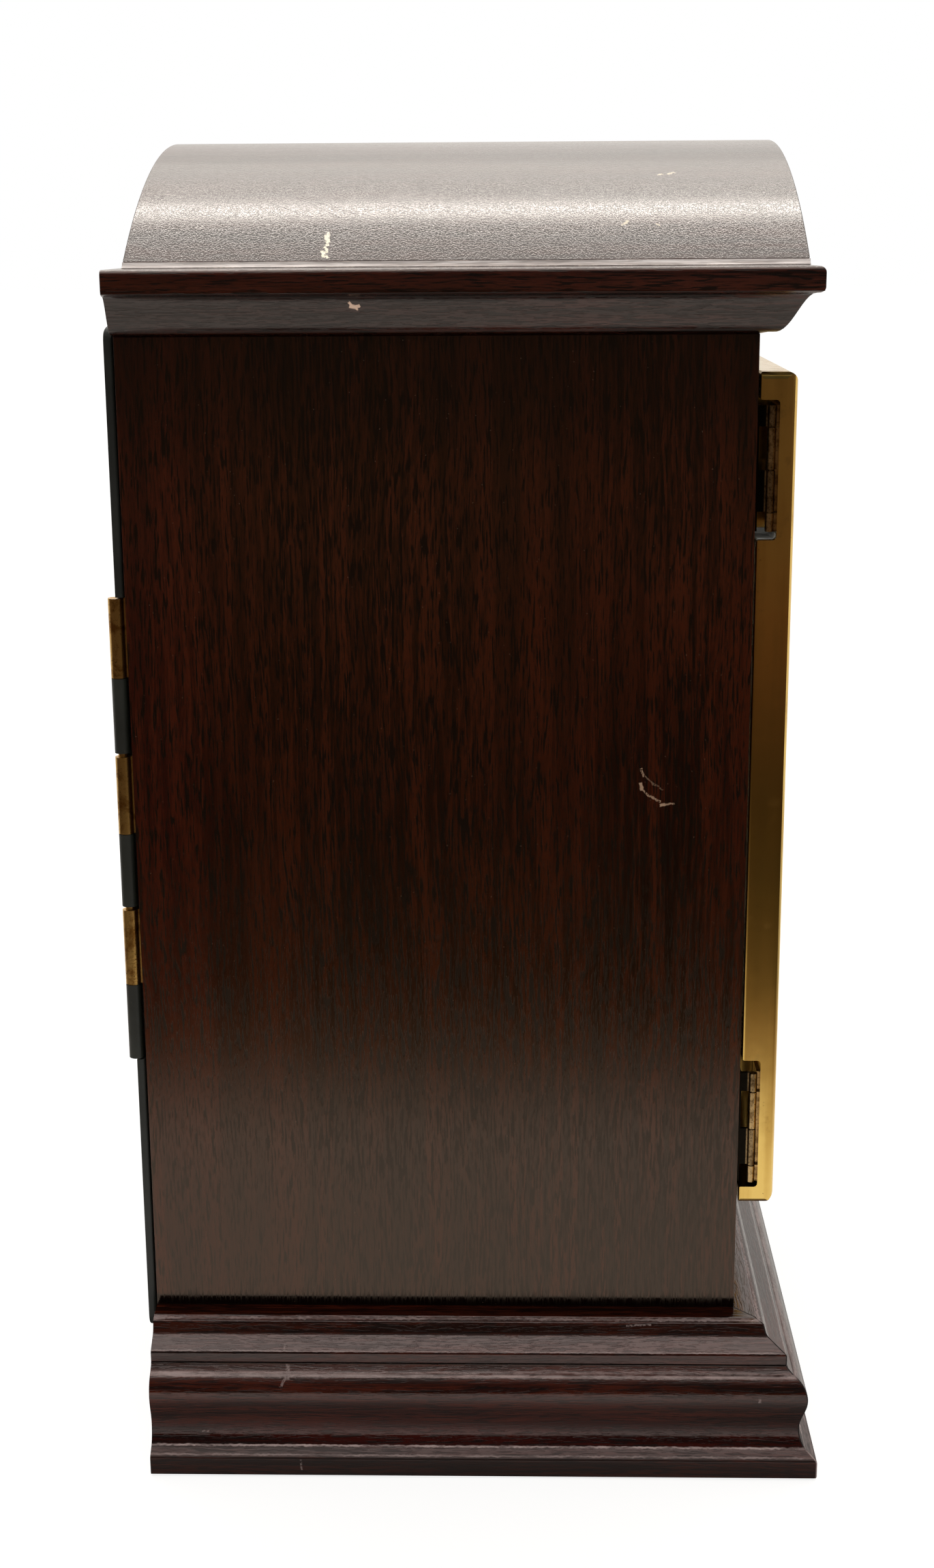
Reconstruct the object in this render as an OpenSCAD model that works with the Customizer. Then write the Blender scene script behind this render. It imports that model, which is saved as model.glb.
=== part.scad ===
// Striking bracket clock: barrel-topped wooden case, brass front door, painted back door,
// two-train movement with an anchor escapement and a pair of upright gong rods.
// The front faces -Y, the back +Y. The origin is under the middle of the base.

/* [Case] */
// Width across the two side panels
case_w = 213.6; // [206:0.2:230]
// Depth of the side panels, front edge to back edge
case_d = 150; // [146:1:170]
// Height of the side panels between base and cornice
case_h = 247.6; // [244:1:270]
// Thickness of the side panels
side_t = 10; // [8:0.5:11]
// Thickness of the front frame behind the door
frame_t = 8; // [6:0.5:9]
// Thickness of the board that closes the bottom of the case
bottom_t = 8; // [6:0.5:10]
// Width of the front frame left showing round the dial
frame_border = 18; // [14:0.5:20]

/* [Base] */
// How far the plinth stands out from the case
plinth_out = 20; // [18:0.5:24]
// Height of the base up to the ledge that the case stands on
base_h = 37.6; // [36:0.2:44]
// Height of the upper base moulding
upper_base_h = 9.6; // [8.6:0.2:10.4]
// Depth of the base mouldings behind the case face
base_in = 12; // [11:0.5:16]
// Thickness of the panel that closes the base from below
base_panel_t = 4; // [3:0.5:6]

/* [Roof] */
// How far the cornice stands out from the case
cornice_out = 13; // [12:0.5:16]
// Height of the cornice and of the board inside it
cornice_h = 15.2; // [14.6:0.2:18]
// Height of the thin board that the roof stands on
roof_base_h = 1.4; // [1:0.2:3]
// How far the foot of the roof stands in from the side panels
roof_in = 7.9; // [5:0.1:12]
// Height of the roof arch above its foot
roof_rise = 30.2; // [25:0.2:36]
// Thickness of the bent roof shell
roof_t = 5; // [4:0.5:7]
// Thickness of the two panels that close the roof ends
roof_end_t = 8; // [6:1:12]

/* [Front door] */
// Height of the case face left free under the door
door_foot = 29.4; // [28:0.2:34]
// Height of the case face left free above the door
door_head = 8.8; // [8:0.2:12]
// Thickness of the brass door frame
door_t = 9; // [8.6:0.1:9.6]
// Width of the rails and stiles of the door frame
door_rail = 19; // [17.5:0.5:21]
// Gap between the door and the case
door_gap = 0.4; // [0.3:0.05:0.5]
// Thickness of the door glass
glass_t = 2; // [1.6:0.1:2.2]
// Diameter of the front hinge knuckles
front_knuckle_d = 2.1; // [1.9:0.1:2.2]
// Diameter of the turned knob on the front door
front_knob_d = 9; // [7:0.5:12]

/* [Back door] */
// How far the back door reaches down over the base
back_door_low = 7.4; // [6:0.2:8]
// How far the back door reaches up over the cornice
back_door_up = 2.4; // [1:0.2:6]
// Thickness of the back door
back_door_t = 2.1; // [1.8:0.1:2.4]
// Length of each back hinge knuckle
back_knuckle_l = 19.6; // [17:0.2:21]
// Diameter of the back hinge knuckles
back_knuckle_d = 3.8; // [3.6:0.1:3.9]
// Diameter of the knob on the back door
back_knob_d = 10; // [8:0.5:13]

/* [Dial] */
// Gap between the chapter ring and the edge of the dial window
ring_gap = 4.8; // [3:0.2:10]
// Width of the chapter ring
ring_w = 24; // [20:0.5:26]
// Thickness of the dial plate
dial_t = 1.6; // [1.2:0.1:2]
// How far the tip of the minute hand stays inside the outer edge of the chapter ring
minute_tip_in = 14; // [8:1:20]
// How far the tip of the hour hand stays inside the inner edge of the chapter ring
hour_tip_in = 13; // [12.6:0.2:20]

/* [Movement] */
// Half width of the movement plates
plate_half_w = 72; // [71:0.5:80]
// Height of the movement plates
plate_h = 142; // [141:1:146]
// Thickness of the movement plates
plate_t = 2; // [1.6:0.1:2.4]
// Gap between the movement plates
plate_gap = 42; // [41.6:0.2:46]
// Gap between the dial plate and the front movement plate
dial_gap = 12.4; // [12.2:0.1:14]
// Radius of the spring barrel drums
drum_r = 26.4; // [22:0.2:26.6]
// Distance of each winding hole from the middle of the dial, sideways
wind_x = 36; // [35:0.5:37]
// Distance of the winding holes below the middle of the dial
wind_drop = 34; // [33.5:0.5:35]
// Width across the winding squares
square_w = 4.4; // [3.6:0.2:5]
// Radius of the wheel arbors
arbor_r = 1.1; // [0.9:0.05:1.2]
// Running clearance of an arbor in its hole
run_fit = 0.05; // [0.03:0.01:0.08]
// Thickness of the wheels
wheel_t = 1.5; // [1.2:0.1:1.8]
// Diameter of the pendulum bob
bob_d = 36; // [28:1:44]
// Swing of the pendulum to each side, in degrees
swing = 2.5; // [1.5:0.1:3]
// Radius of the escape wheel
escape_r = 15; // [14:0.2:15.6]

/* [Gong] */
// Height of the cast block that holds the gong rods
gong_block_h = 16; // [12:1:24]
// Diameter of the gong rods
rod_d = 3; // [2.4:0.2:3.6]
// Distance between the two gong rods
rod_pitch = 14; // [12:0.5:18]

/* [Hidden] */

round_fn = 48;
fine_fn = 24;
far = 400;

// Case planes
half_w = case_w / 2;
front_y = -case_d / 2;
back_y = case_d / 2;
inner_x = half_w - side_t;
case_top = base_h + case_h;
frame_back = front_y + frame_t;
floor_z = base_h + bottom_t;
cornice_top = case_top + cornice_h;
roof_foot = cornice_top + roof_base_h;
base_inner_x = half_w - base_in;
base_inner_y = front_y + base_in;
base_back_in = 10;
base_joint_z = base_h - upper_base_h;

// Roof arch through its foot corners and its top
roof_w = case_w - 2 * roof_in;
roof_r = (pow(roof_w / 2, 2) + pow(roof_rise, 2)) / (2 * roof_rise);
roof_axis_z = roof_foot + roof_rise - roof_r;
roof_front = front_y - cornice_out + 1;
roof_back = back_y - 1.6;
roof_step_out = 1.6;
roof_step_in = 0.3;

// Front door and its two hinges
door_half_w = half_w - 0.1;
door_z = base_h + door_foot;
door_h = case_h - door_foot - door_head;
door_top = door_z + door_h;
door_back = front_y - door_gap;
door_front = door_back - door_t;
door_edge_r = 2.7;
door_foot_r = 3.2;
door_back_r = 0.7;
door_corner_r = 1.6;
door_mid_z = door_z + door_h / 2;
lip_t = 2;
lip_w = 3;
glass_fit = 0.3;
glass_front = door_front + lip_t;
glass_back = glass_front + glass_t;
retainer_t = 1.4;
front_hinge_x = -door_half_w + 1.8;
hinge_edge_r = 0.8;
notch_depth_y = 4.7;
notch_depth_x = 13;
notch_r = 0.9;
notch_mouth_r = 0.7;
notch_gap = 0.55;
notch_heights = [door_top - 39.2, door_z + 4.5];
notch_lengths = [32.8, 34.4];
front_hinge_y = door_back - notch_depth_y + notch_gap + front_knuckle_d / 2;
leaf_t = 0.6;
leaf_w = 10.4;
knuckle_cuts = [0, 4.5, 14.5, 24.5, 29.5];
knuckle_gap = 0.3;
hinge_drops = [1.9, 0.9];
front_pin_r = 0.6;
front_knob_out = 12;
knob_screw_r = 1.5;

// Back door and its hinge
back_door_gap = 0.3;
back_door_z = base_h - back_door_low;
back_door_h = case_h + back_door_low + back_door_up;
back_door_half_w = half_w - 0.6;
back_door_face = back_y + back_door_gap + back_door_t;
back_hinge_x = -back_door_half_w + 1.6;
back_hinge_y = back_y + 2.6;
back_hinge_top = case_top - 61.7;
back_knuckles = 6;
back_hinge_l = back_knuckles * back_knuckle_l;
back_pin_r = 1.1;
back_leaf_t = 0.7;
back_leaf_w = 17;
back_web_w = 1.4;
back_tight_gap = 0.15;
back_open_gap = 1;
back_cut_x = back_hinge_x + back_knuckle_d / 2 + 0.4;
back_edge_r = 0.9;
back_corner_r = 4;
back_knob_out = 9;

// Dial
dial_z = door_mid_z;
dial_x_half = inner_x - 3.5;
aperture_half = half_w - frame_border;
aperture_h = door_h - 2 * frame_border + 6;
dial_front = frame_back;
dial_back = dial_front + dial_t;
ring_t = 1.2;
ring_r = min(aperture_half, aperture_h / 2) - ring_gap;
minute_l = ring_r - minute_tip_in;
hour_l = ring_r - ring_w - hour_tip_in;
ring_front = dial_front - ring_t;
hand_t = 0.6;
hour_y = dial_front - 3;
minute_y = hour_y - 1.6;
pipe_end = minute_y - 1.4;
winding_end = dial_front - 2;
wind_hole_r = 5;
hour_angle = 90 - 305;
minute_angle = 90 - 60;

// Movement plates
plate_front = dial_back + dial_gap;
train_front = plate_front + plate_t;
train_back = train_front + plate_gap;
plate_rear = train_back + plate_t;
plate_bottom = dial_z - wind_drop - 35;
plate_top = plate_bottom + plate_h;
pillar_r = 3.5;
pillar_spots = [[-plate_half_w + 5, plate_bottom + 6], [plate_half_w - 5, plate_bottom + 6],
    [-plate_half_w + 5, plate_top - 6], [plate_half_w - 5, plate_top - 6],
    [0, plate_bottom + 18]];
dial_foot_r = 3;
dial_feet_spots = [[-plate_half_w + 14, plate_bottom + 6], [plate_half_w - 14, plate_bottom + 6],
    [-plate_half_w + 14, plate_top - 6], [plate_half_w - 14, plate_top - 6]];

// Tooth counts and tooth sizes
barrel_teeth = 72;
barrel_m = 0.9;
second_leaves = 12;
second_teeth = 60;
second_m = 0.7;
centre_leaves = 10;
centre_teeth = 72;
centre_m = 0.6;
third_leaves = 6;
third_teeth = 66;
third_m = 0.55;
escape_leaves = 6;
escape_teeth = 36;
strike_second_teeth = 56;
pin_leaves = 8;
pin_teeth = 56;
pin_m = 0.6;
locking_leaves = 7;
locking_teeth = 49;
locking_m = 0.55;
warning_leaves = 7;
warning_teeth = 42;
warning_m = 0.5;
fly_leaves = 7;
cannon_teeth = 12;
cannon_m = 0.75;
minute_wheel_teeth = 36;
minute_leaves = 10;
hour_teeth = 40;
hour_m = (cannon_teeth + minute_wheel_teeth) * cannon_m / (minute_leaves + hour_teeth);

// Where the arbors stand, seen from the front
function reach(m, a, b) = m * (a + b) / 2;
function step(from, dist, angle) = from + dist * [cos(angle), sin(angle)];
function meet(a, ra, b, rb, side) =
    let (d = norm(b - a), k = (ra * ra - rb * rb + d * d) / (2 * d))
    let (h = sqrt(ra * ra - k * k), u = (b - a) / d)
    a + k * u + side * h * [-u[1], u[0]];

centre_at = [0, dial_z];
going_barrel_at = centre_at + [wind_x, -wind_drop];
second_at = meet(centre_at, reach(second_m, second_teeth, centre_leaves),
    going_barrel_at, reach(barrel_m, barrel_teeth, second_leaves), 1);
third_at = step(centre_at, reach(centre_m, centre_teeth, third_leaves), 70);
escape_reach = reach(third_m, third_teeth, escape_leaves);
escape_at = [0, third_at[1] + sqrt(pow(escape_reach, 2) - pow(third_at[0], 2))];
anchor_at = escape_at + [0, escape_r * 4 / 3];
strike_barrel_at = centre_at + [-wind_x, -wind_drop];
strike_second_at = step(strike_barrel_at, reach(barrel_m, barrel_teeth, second_leaves), 105);
pin_at = step(strike_second_at, reach(second_m, strike_second_teeth, pin_leaves), 70);
locking_at = step(pin_at, reach(pin_m, pin_teeth, locking_leaves), 60);
warning_at = step(locking_at, reach(locking_m, locking_teeth, warning_leaves), 100);
fly_at = step(warning_at, reach(warning_m, warning_teeth, fly_leaves), 150);
minute_wheel_at = step(centre_at, reach(cannon_m, cannon_teeth, minute_wheel_teeth), -100);

// How far each wheel is turned so that its teeth stand in its neighbour's gaps
function phase(pa, na, a, b, nb) =
    let (d = b - a, line = atan2(d[1], d[0]))
    line + 180 + (0.5 - (pa - line) * na / 360) * 360 / nb;

second_phase = phase(0, barrel_teeth, going_barrel_at, second_at, second_leaves);
centre_phase = phase(second_phase, second_teeth, second_at, centre_at, centre_leaves);
third_phase = phase(centre_phase, centre_teeth, centre_at, third_at, third_leaves);
escape_phase = phase(third_phase, third_teeth, third_at, escape_at, escape_leaves);
minute_wheel_phase = phase(0, cannon_teeth, centre_at, minute_wheel_at, minute_wheel_teeth);
hour_phase = phase(minute_wheel_phase, minute_leaves, minute_wheel_at, centre_at, hour_teeth);
strike_second_phase = phase(0, barrel_teeth, strike_barrel_at, strike_second_at, second_leaves);
pin_phase = phase(strike_second_phase, strike_second_teeth, strike_second_at, pin_at, pin_leaves);
locking_phase = phase(pin_phase, pin_teeth, pin_at, locking_at, locking_leaves);
warning_phase = phase(locking_phase, locking_teeth, locking_at, warning_at, warning_leaves);
fly_phase = phase(warning_phase, warning_teeth, warning_at, fly_at, fly_leaves);

// How deep each wheel lies behind the front plate
drum_depth = 3;
barrel_depth = 29;
second_depth = 36;
centre_depth = 4;
third_depth = 12;
pin_depth = 7;
locking_depth = 17;
warning_depth = 24;
escape_before = 4.5;

// Layers between the plates, each the front face of a wheel
drum_front = train_front + drum_depth;
barrel_layer = train_front + barrel_depth;
second_layer = train_front + second_depth;
centre_layer = train_front + centre_depth;
third_layer = train_front + third_depth;
escape_layer = train_back - escape_before;
pin_layer = train_front + pin_depth;
locking_layer = train_front + locking_depth;
warning_layer = train_front + warning_depth;
barrel_teeth_t = 3;
leaf_over = 1;
shoulder = 0.3;
pivot_r = arbor_r - 0.3;
hub_r = 3;
spoke_w = 2.2;
rim_w = 2.4;

// Motion work in front of the front plate
cannon_layer = plate_front - 4.2;
hour_layer = cannon_layer - 3;
cannon_bore = arbor_r + run_fit;
cannon_r = 2.4;
minute_square_r = 1.7;
hour_pipe_bore = cannon_r + run_fit;
hour_pipe_r = 3.6;
ratchet_layer = plate_front - 4;
ratchet_r = 11;
ratchet_teeth = 24;
ratchet_t = 2;
click_gap = 0.4;
barrel_arbor_r = 4;
click_reach = 12;

// Pendulum and hammer
swing_clear = 0.4;
pallet_angle = 50;
cock_out = 9;
cock_t = 3;
spring_top = 2;
pendulum_y = plate_rear + cock_out + 5;
pendulum_l = 142.6;
strip_l = 12;
crutch_drop = 34;
pin_circle = pin_teeth * pin_m / 2 - 1.1 * pin_m - rim_w / 2;
hammer_out = 25;
hammer_up = 9;
hammer_at = pin_at + [-hammer_out, hammer_up];
hammer_l = 86;
hammer_lean = 6;
hammer_head_r = 5;
hammer_head_l = 13;
rod_behind = 18;
rod_over = 14;
rod_y = plate_rear + rod_behind;
hammer_end = step(hammer_at, hammer_l, -90 - hammer_lean);
rod_x = hammer_end[0] + hammer_head_l / 2 + 0.8 + rod_d / 2;
rod_top = hammer_end[1] + rod_over;
rod_hole = 8;
gong_side = 12;
gong_end = 10;

// Colours
mahogany = "#4a2118";
dark_mahogany = "#33150f";
inner_wood = "#8a5a3a";
brass = "#c8a04a";
aged_brass = "#8a6d3a";
steel = "#9aa0a6";
blued = "#1e2440";
silvered = "#d9d6cb";
black_paint = "#1c2620";
glass = [0.8, 0.9, 0.9, 0.35];
iron = "#3a3a3c";

// Points on part of an oval round c, from angle a0 to a1
function oval(c, rx, ry, a0, a1, n = 8) =
    [for (i = [0:n]) let (a = a0 + (a1 - a0) * i / n) c + [rx * cos(a), ry * sin(a)]];

// A flat shape drawn in X and Z, from y0 to y1
module along_y(y0, y1) {
    translate([0, y1, 0]) rotate([90, 0, 0]) linear_extrude(y1 - y0) children();
}

// A flat shape drawn in Y and Z, from x0 to x1
module along_x(x0, x1) {
    translate([x0, 0, 0]) rotate([90, 0, 90]) linear_extrude(x1 - x0) children();
}

// A round bar along Y at the arbor place p
module bar_y(p, r, y0, y1, fn = round_fn) {
    translate([p[0], y1, p[1]]) rotate([90, 0, 0]) cylinder(h = y1 - y0, r = r, $fn = fn);
}

// A round bar along Z
module bar_z(x, y, r, z0, z1, fn = round_fn) {
    translate([x, y, z0]) cylinder(h = z1 - z0, r = r, $fn = fn);
}

// A block from one corner to the other
module block(a, b) {
    translate(a) cube(b - a);
}

// A rectangle with rounded corners from corner a to corner b
module round_rect(a, b, r) {
    polygon(concat(oval([b[0] - r, b[1] - r], r, r, 0, 90), oval([a[0] + r, b[1] - r], r, r, 90, 180),
        oval([a[0] + r, a[1] + r], r, r, 180, 270), oval([b[0] - r, a[1] + r], r, r, 270, 360)));
}

// A moulding with mitred front corners; its outline gives distance out from the case and height
module mitred(outline) {
    span = half_w;
    for (s = [-1, 1]) {
        intersection() {
            along_y(front_y - far / 4, back_y) polygon([for (q = outline) [s * (half_w + q[0]), q[1]]]);
            linear_extrude(far) polygon([[s * (half_w - span), front_y + span],
                [s * (half_w + span), front_y - span], [s * (half_w + span), back_y + 1],
                [s * (half_w - span), back_y + 1]]);
        }
    }
    intersection() {
        along_x(-half_w - span, half_w + span) polygon([for (q = outline) [front_y - q[0], q[1]]]);
        linear_extrude(far) polygon([[-half_w - span, front_y - span], [half_w + span, front_y - span],
            [0, front_y + span]]);
    }
}

// Base and plinth
module base_plinth() {
    foot_r = 0.9;
    plinth_top = 4.6;
    slope_top = 7.1;
    neck_out = plinth_out - 4.3;
    torus_out = plinth_out - 2.5;
    torus_z = base_joint_z - 7.2;
    neck_z = torus_z - 8.6;
    waves = 10;
    outline = concat([[-base_in, 0]], oval([plinth_out - foot_r, foot_r], foot_r, foot_r, -90, 0, 4),
        oval([plinth_out - 1, plinth_top], 1, 1, 0, 55, 4),
        [[plinth_out - 1.6, slope_top - 0.8], [neck_out + 1.6, slope_top]],
        oval([neck_out + 3.1, neck_z], 3.1, (neck_z - slope_top - 0.2) / sin(58), 238, 180, 6),
        [for (i = [1:waves - 1]) let (s = (1 - cos(180 * i / waves)) / 2)
            [neck_out + (torus_out - neck_out) * s, neck_z + (torus_z - neck_z) * i / waves]],
        oval([torus_out - 5, torus_z], 5, 5.8, 0, 72, 9),
        [[plinth_out - 7.25, base_joint_z - 0.55], [plinth_out - 7.35, base_joint_z],
        [-base_in, base_joint_z]]);
    color(dark_mahogany) {
        mitred(outline);
        block([-base_inner_x, back_y - base_back_in, 0], [base_inner_x, back_y, base_joint_z]);
    }
}

module base_upper_moulding() {
    ledge_out = plinth_out - 15;
    fillet_out = plinth_out - 7.5;
    outline = concat([[-base_in, base_joint_z], [fillet_out - 0.15, base_joint_z],
        [fillet_out, base_joint_z + 0.3]],
        oval([fillet_out - 0.8, base_joint_z + 2.4], 0.8, 0.8, 0, 57, 4),
        oval([ledge_out + 4.5, base_h - 2.45], 2, 2, 237, 195, 5),
        oval([ledge_out + 1.6, base_h - 1.3], 0.5, 0.5, 15, 70, 3),
        [[ledge_out + 0.4, base_h - 0.3], [ledge_out + 0.2, base_h - 0.1], [ledge_out - 0.1, base_h],
        [-base_in, base_h]]);
    color(dark_mahogany) {
        mitred(outline);
        block([-base_inner_x, back_y - base_back_in, base_joint_z], [base_inner_x, back_y, base_h]);
    }
}

module base_panel() {
    color(inner_wood) block([-base_inner_x, base_inner_y, 0],
        [base_inner_x, back_y - base_back_in, base_panel_t]);
}

module bottom_board() {
    color(inner_wood) block([-inner_x, frame_back, base_h], [inner_x, back_y, floor_z]);
}

// Case
module side_panel(s) {
    color(mahogany) difference() {
        block([s > 0 ? inner_x : -half_w, front_y, base_h], [s > 0 ? half_w : -inner_x, back_y, case_top]);
        if (s < 0) block([back_hinge_x, back_y - back_leaf_t, back_hinge_top - back_hinge_l],
            [-inner_x + 0.3, back_y + 1, back_hinge_top]);
    }
}

module left_side_panel() {
    side_panel(-1);
}

module right_side_panel() {
    side_panel(1);
}

module front_frame() {
    color(mahogany) along_y(front_y, frame_back) difference() {
        polygon([[-inner_x, base_h], [inner_x, base_h], [inner_x, case_top], [-inner_x, case_top]]);
        polygon([[-aperture_half, dial_z - aperture_h / 2], [aperture_half, dial_z - aperture_h / 2],
            [aperture_half, dial_z + aperture_h / 2], [-aperture_half, dial_z + aperture_h / 2]]);
    }
}

module top_board() {
    color(inner_wood) block([-half_w, front_y, case_top], [half_w, back_y, cornice_top]);
}

module cornice_moulding() {
    fillet_z = cornice_top - 5.9;
    fascia_r = 1.4;
    run = cornice_out - 4.5;
    rise = fillet_z - case_top - 0.4;
    outline = concat([[0, case_top], [1.8, case_top + 0.4]],
        [for (i = [0:12]) let (s = i / 12) [2.7 + run * s,
            case_top + 0.4 + rise * (1 - cos(180 * pow(s, 1.15))) / 2]],
        [[cornice_out - 1, fillet_z + 0.1], [cornice_out - 0.2, fillet_z + 0.5],
        [cornice_out, fillet_z + 1.2]],
        oval([cornice_out - fascia_r, cornice_top - fascia_r], fascia_r, fascia_r, 0, 90, 5),
        [[0, cornice_top]]);
    color(dark_mahogany) mitred(outline);
}

// Roof
module roof_base_board() {
    edge = roof_w / 2 + roof_step_out;
    side = concat([[edge, cornice_top]], oval([edge, roof_foot], roof_step_out - roof_step_in,
        roof_base_h - 0.2, 270, 180, 5));
    color(dark_mahogany) along_y(roof_front, roof_back)
        polygon(concat(side, [for (i = [len(side) - 1:-1:0]) [-side[i][0], side[i][1]]]));
}

module arch(r) {
    intersection() {
        translate([0, roof_axis_z]) circle(r = r, $fn = 160);
        translate([-roof_w / 2, roof_foot]) square([roof_w, roof_rise + 1]);
    }
}

module roof_shell() {
    color(mahogany) along_y(roof_front, roof_back) difference() {
        arch(roof_r);
        arch(roof_r - roof_t);
    }
}

module roof_end_panels() {
    color(mahogany) for (y = [roof_front, roof_back - roof_end_t]) along_y(y, y + roof_end_t)
        arch(roof_r - roof_t);
}

// Board that carries the movement, on two battens that are screwed to the sides
module seat_board() {
    board_t = 9;
    batten_w = 12;
    batten_h = 14;
    color(inner_wood) {
        block([-inner_x, plate_front - 4, plate_bottom - board_t], [inner_x, plate_rear + 1, plate_bottom]);
        for (s = [0, 1]) block([s ? inner_x - batten_w : -inner_x, plate_front - 4,
            plate_bottom - board_t - batten_h], [s ? inner_x : -inner_x + batten_w, plate_rear + 1,
            plate_bottom - board_t]);
    }
}

// Front door
module door_opening(margin) {
    x = door_half_w - door_rail - margin;
    polygon([[-x, door_z + door_rail + margin], [x, door_z + door_rail + margin],
        [x, door_top - door_rail - margin], [-x, door_top - door_rail - margin]]);
}

// Side view of one hinge notch, with a rounded mouth at the back of the door
module notch_outline(i) {
    low = notch_heights[i];
    high = low + notch_lengths[i];
    r = notch_r;
    m = notch_mouth_r;
    bottom = door_back - notch_depth_y + r;
    polygon(concat([[door_back + 1, high + m], [door_back + 1, low - m]],
        oval([door_back - m, low - m], m, m, 0, 90, 4), oval([bottom, low + r], r, r, 270, 180, 4),
        oval([bottom, high - r], r, r, 180, 90, 4), oval([door_back - m, high + m], m, m, 270, 360, 4)));
}

module front_door_frame() {
    r = door_edge_r;
    foot = door_foot_r;
    back = door_back_r;
    color(brass) difference() {
        intersection() {
            along_y(door_front, door_back)
                round_rect([-door_half_w, door_z], [door_half_w, door_top], door_corner_r);
            along_x(-door_half_w, door_half_w) polygon(concat(
                oval([door_back - back, door_z + back], back, back, -90, 0, 4),
                oval([door_back - back, door_top - back], back, back, 0, 90, 4),
                oval([door_front + r, door_top - r], r, r, 90, 180, 6),
                oval([door_front + foot, door_z + foot], foot, foot, 180, 270, 6)));
            translate([0, 0, door_z]) linear_extrude(door_h) polygon(concat([[door_half_w, door_back]],
                oval([-door_half_w + hinge_edge_r, door_back - hinge_edge_r],
                    hinge_edge_r, hinge_edge_r, 90, 180, 6),
                oval([-door_half_w + r, door_front + r], r, r, 180, 270, 6),
                oval([door_half_w - r, door_front + r], r, r, 270, 360, 6)));
        }
        along_y(door_front - 1, door_back + 1) door_opening(0);
        along_y(glass_front, door_back + 1) door_opening(-lip_w);
        for (i = [0, 1]) along_x(-door_half_w - 1, -door_half_w + notch_depth_x) notch_outline(i);
        bar_y([door_half_w - door_rail / 2, door_mid_z], knob_screw_r, door_front - 1,
            door_back + 1, fine_fn);
    }
}

module front_door_glass() {
    color(glass) along_y(glass_front, glass_back) door_opening(-lip_w + glass_fit);
}

module glass_retainer() {
    color(brass) along_y(glass_back, glass_back + retainer_t) difference() {
        door_opening(-lip_w + glass_fit);
        door_opening(1);
    }
}

// Heights in a front hinge: its foot, and the ends of knuckle k above that foot
function front_hinge_z(i) = notch_heights[i] + hinge_drops[i];
function knuckle_low(k) = knuckle_cuts[k] + (k > 0 ? knuckle_gap / 2 : 0);
function knuckle_high(k) = knuckle_cuts[k + 1] - (k < 3 ? knuckle_gap / 2 : 0);

module front_hinge_leaf(on_door) {
    r = front_knuckle_d / 2;
    l = knuckle_cuts[4];
    leaf_y = on_door ? door_back - notch_depth_y : front_y - leaf_t;
    leaf_x = on_door ? front_hinge_x + 1 : front_hinge_x;
    for (i = [0, 1]) translate([0, 0, front_hinge_z(i)]) difference() {
        union() {
            block([leaf_x, leaf_y, 0], [front_hinge_x + leaf_w, leaf_y + leaf_t, l]);
            for (k = on_door ? [0, 2] : [1, 3]) {
                bar_z(front_hinge_x, front_hinge_y, r, knuckle_low(k), knuckle_high(k));
                if (on_door) block([front_hinge_x, leaf_y, knuckle_low(k)],
                    [front_hinge_x + r, front_hinge_y, knuckle_high(k)]);
                else block([front_hinge_x, front_hinge_y, knuckle_low(k)],
                    [front_hinge_x + r, front_y, knuckle_high(k)]);
            }
        }
        bar_z(front_hinge_x, front_hinge_y, front_pin_r + run_fit, -1, l + 1, fine_fn);
    }
}

module front_hinge_case_leaves() {
    color(aged_brass) front_hinge_leaf(false);
}

module front_hinge_door_leaves() {
    color(brass) front_hinge_leaf(true);
}

module front_hinge_pins() {
    color(steel) for (i = [0, 1]) bar_z(front_hinge_x, front_hinge_y, front_pin_r,
        front_hinge_z(i), front_hinge_z(i) + knuckle_cuts[4], fine_fn);
}

// A turned knob along Y that starts on the face at y and stands out by out
module knob(p, y, d, out, s) {
    translate([p[0], y, p[1]]) rotate([s > 0 ? -90 : 90, 0, 0]) rotate_extrude($fn = round_fn)
        polygon(concat([[0, 0], [d * 0.42, 0], [d * 0.42, out * 0.12], [d * 0.2, out * 0.22],
        [d * 0.2, out * 0.42]], oval([0, out * 0.7], d / 2, out * 0.3, -60, 90, 10)));
}

module front_door_knob() {
    place = [door_half_w - door_rail / 2, door_mid_z];
    color(brass) {
        knob(place, door_front, front_knob_d, front_knob_out, -1);
        bar_y(place, knob_screw_r - run_fit, door_front, door_back, fine_fn);
    }
}

// Dial, chapter ring and hands
module dial_plate() {
    z = aperture_h / 2 + 4;
    color(brass) {
        difference() {
            block([-dial_x_half, dial_front, dial_z - z], [dial_x_half, dial_back, dial_z + z]);
            bar_y(centre_at, hour_pipe_r + 0.6, dial_front - 1, dial_back + 1);
            for (s = [-1, 1]) bar_y(centre_at + [s * wind_x, -wind_drop], wind_hole_r,
                dial_front - 1, dial_back + 1);
        }
        for (p = dial_feet_spots) bar_y(p, dial_foot_r, dial_back, plate_front);
    }
}

module chapter_ring() {
    color(silvered) difference() {
        bar_y(centre_at, ring_r, ring_front, dial_front, 160);
        bar_y(centre_at, ring_r - ring_w, ring_front - 1, dial_front + 1, 160);
    }
}

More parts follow.
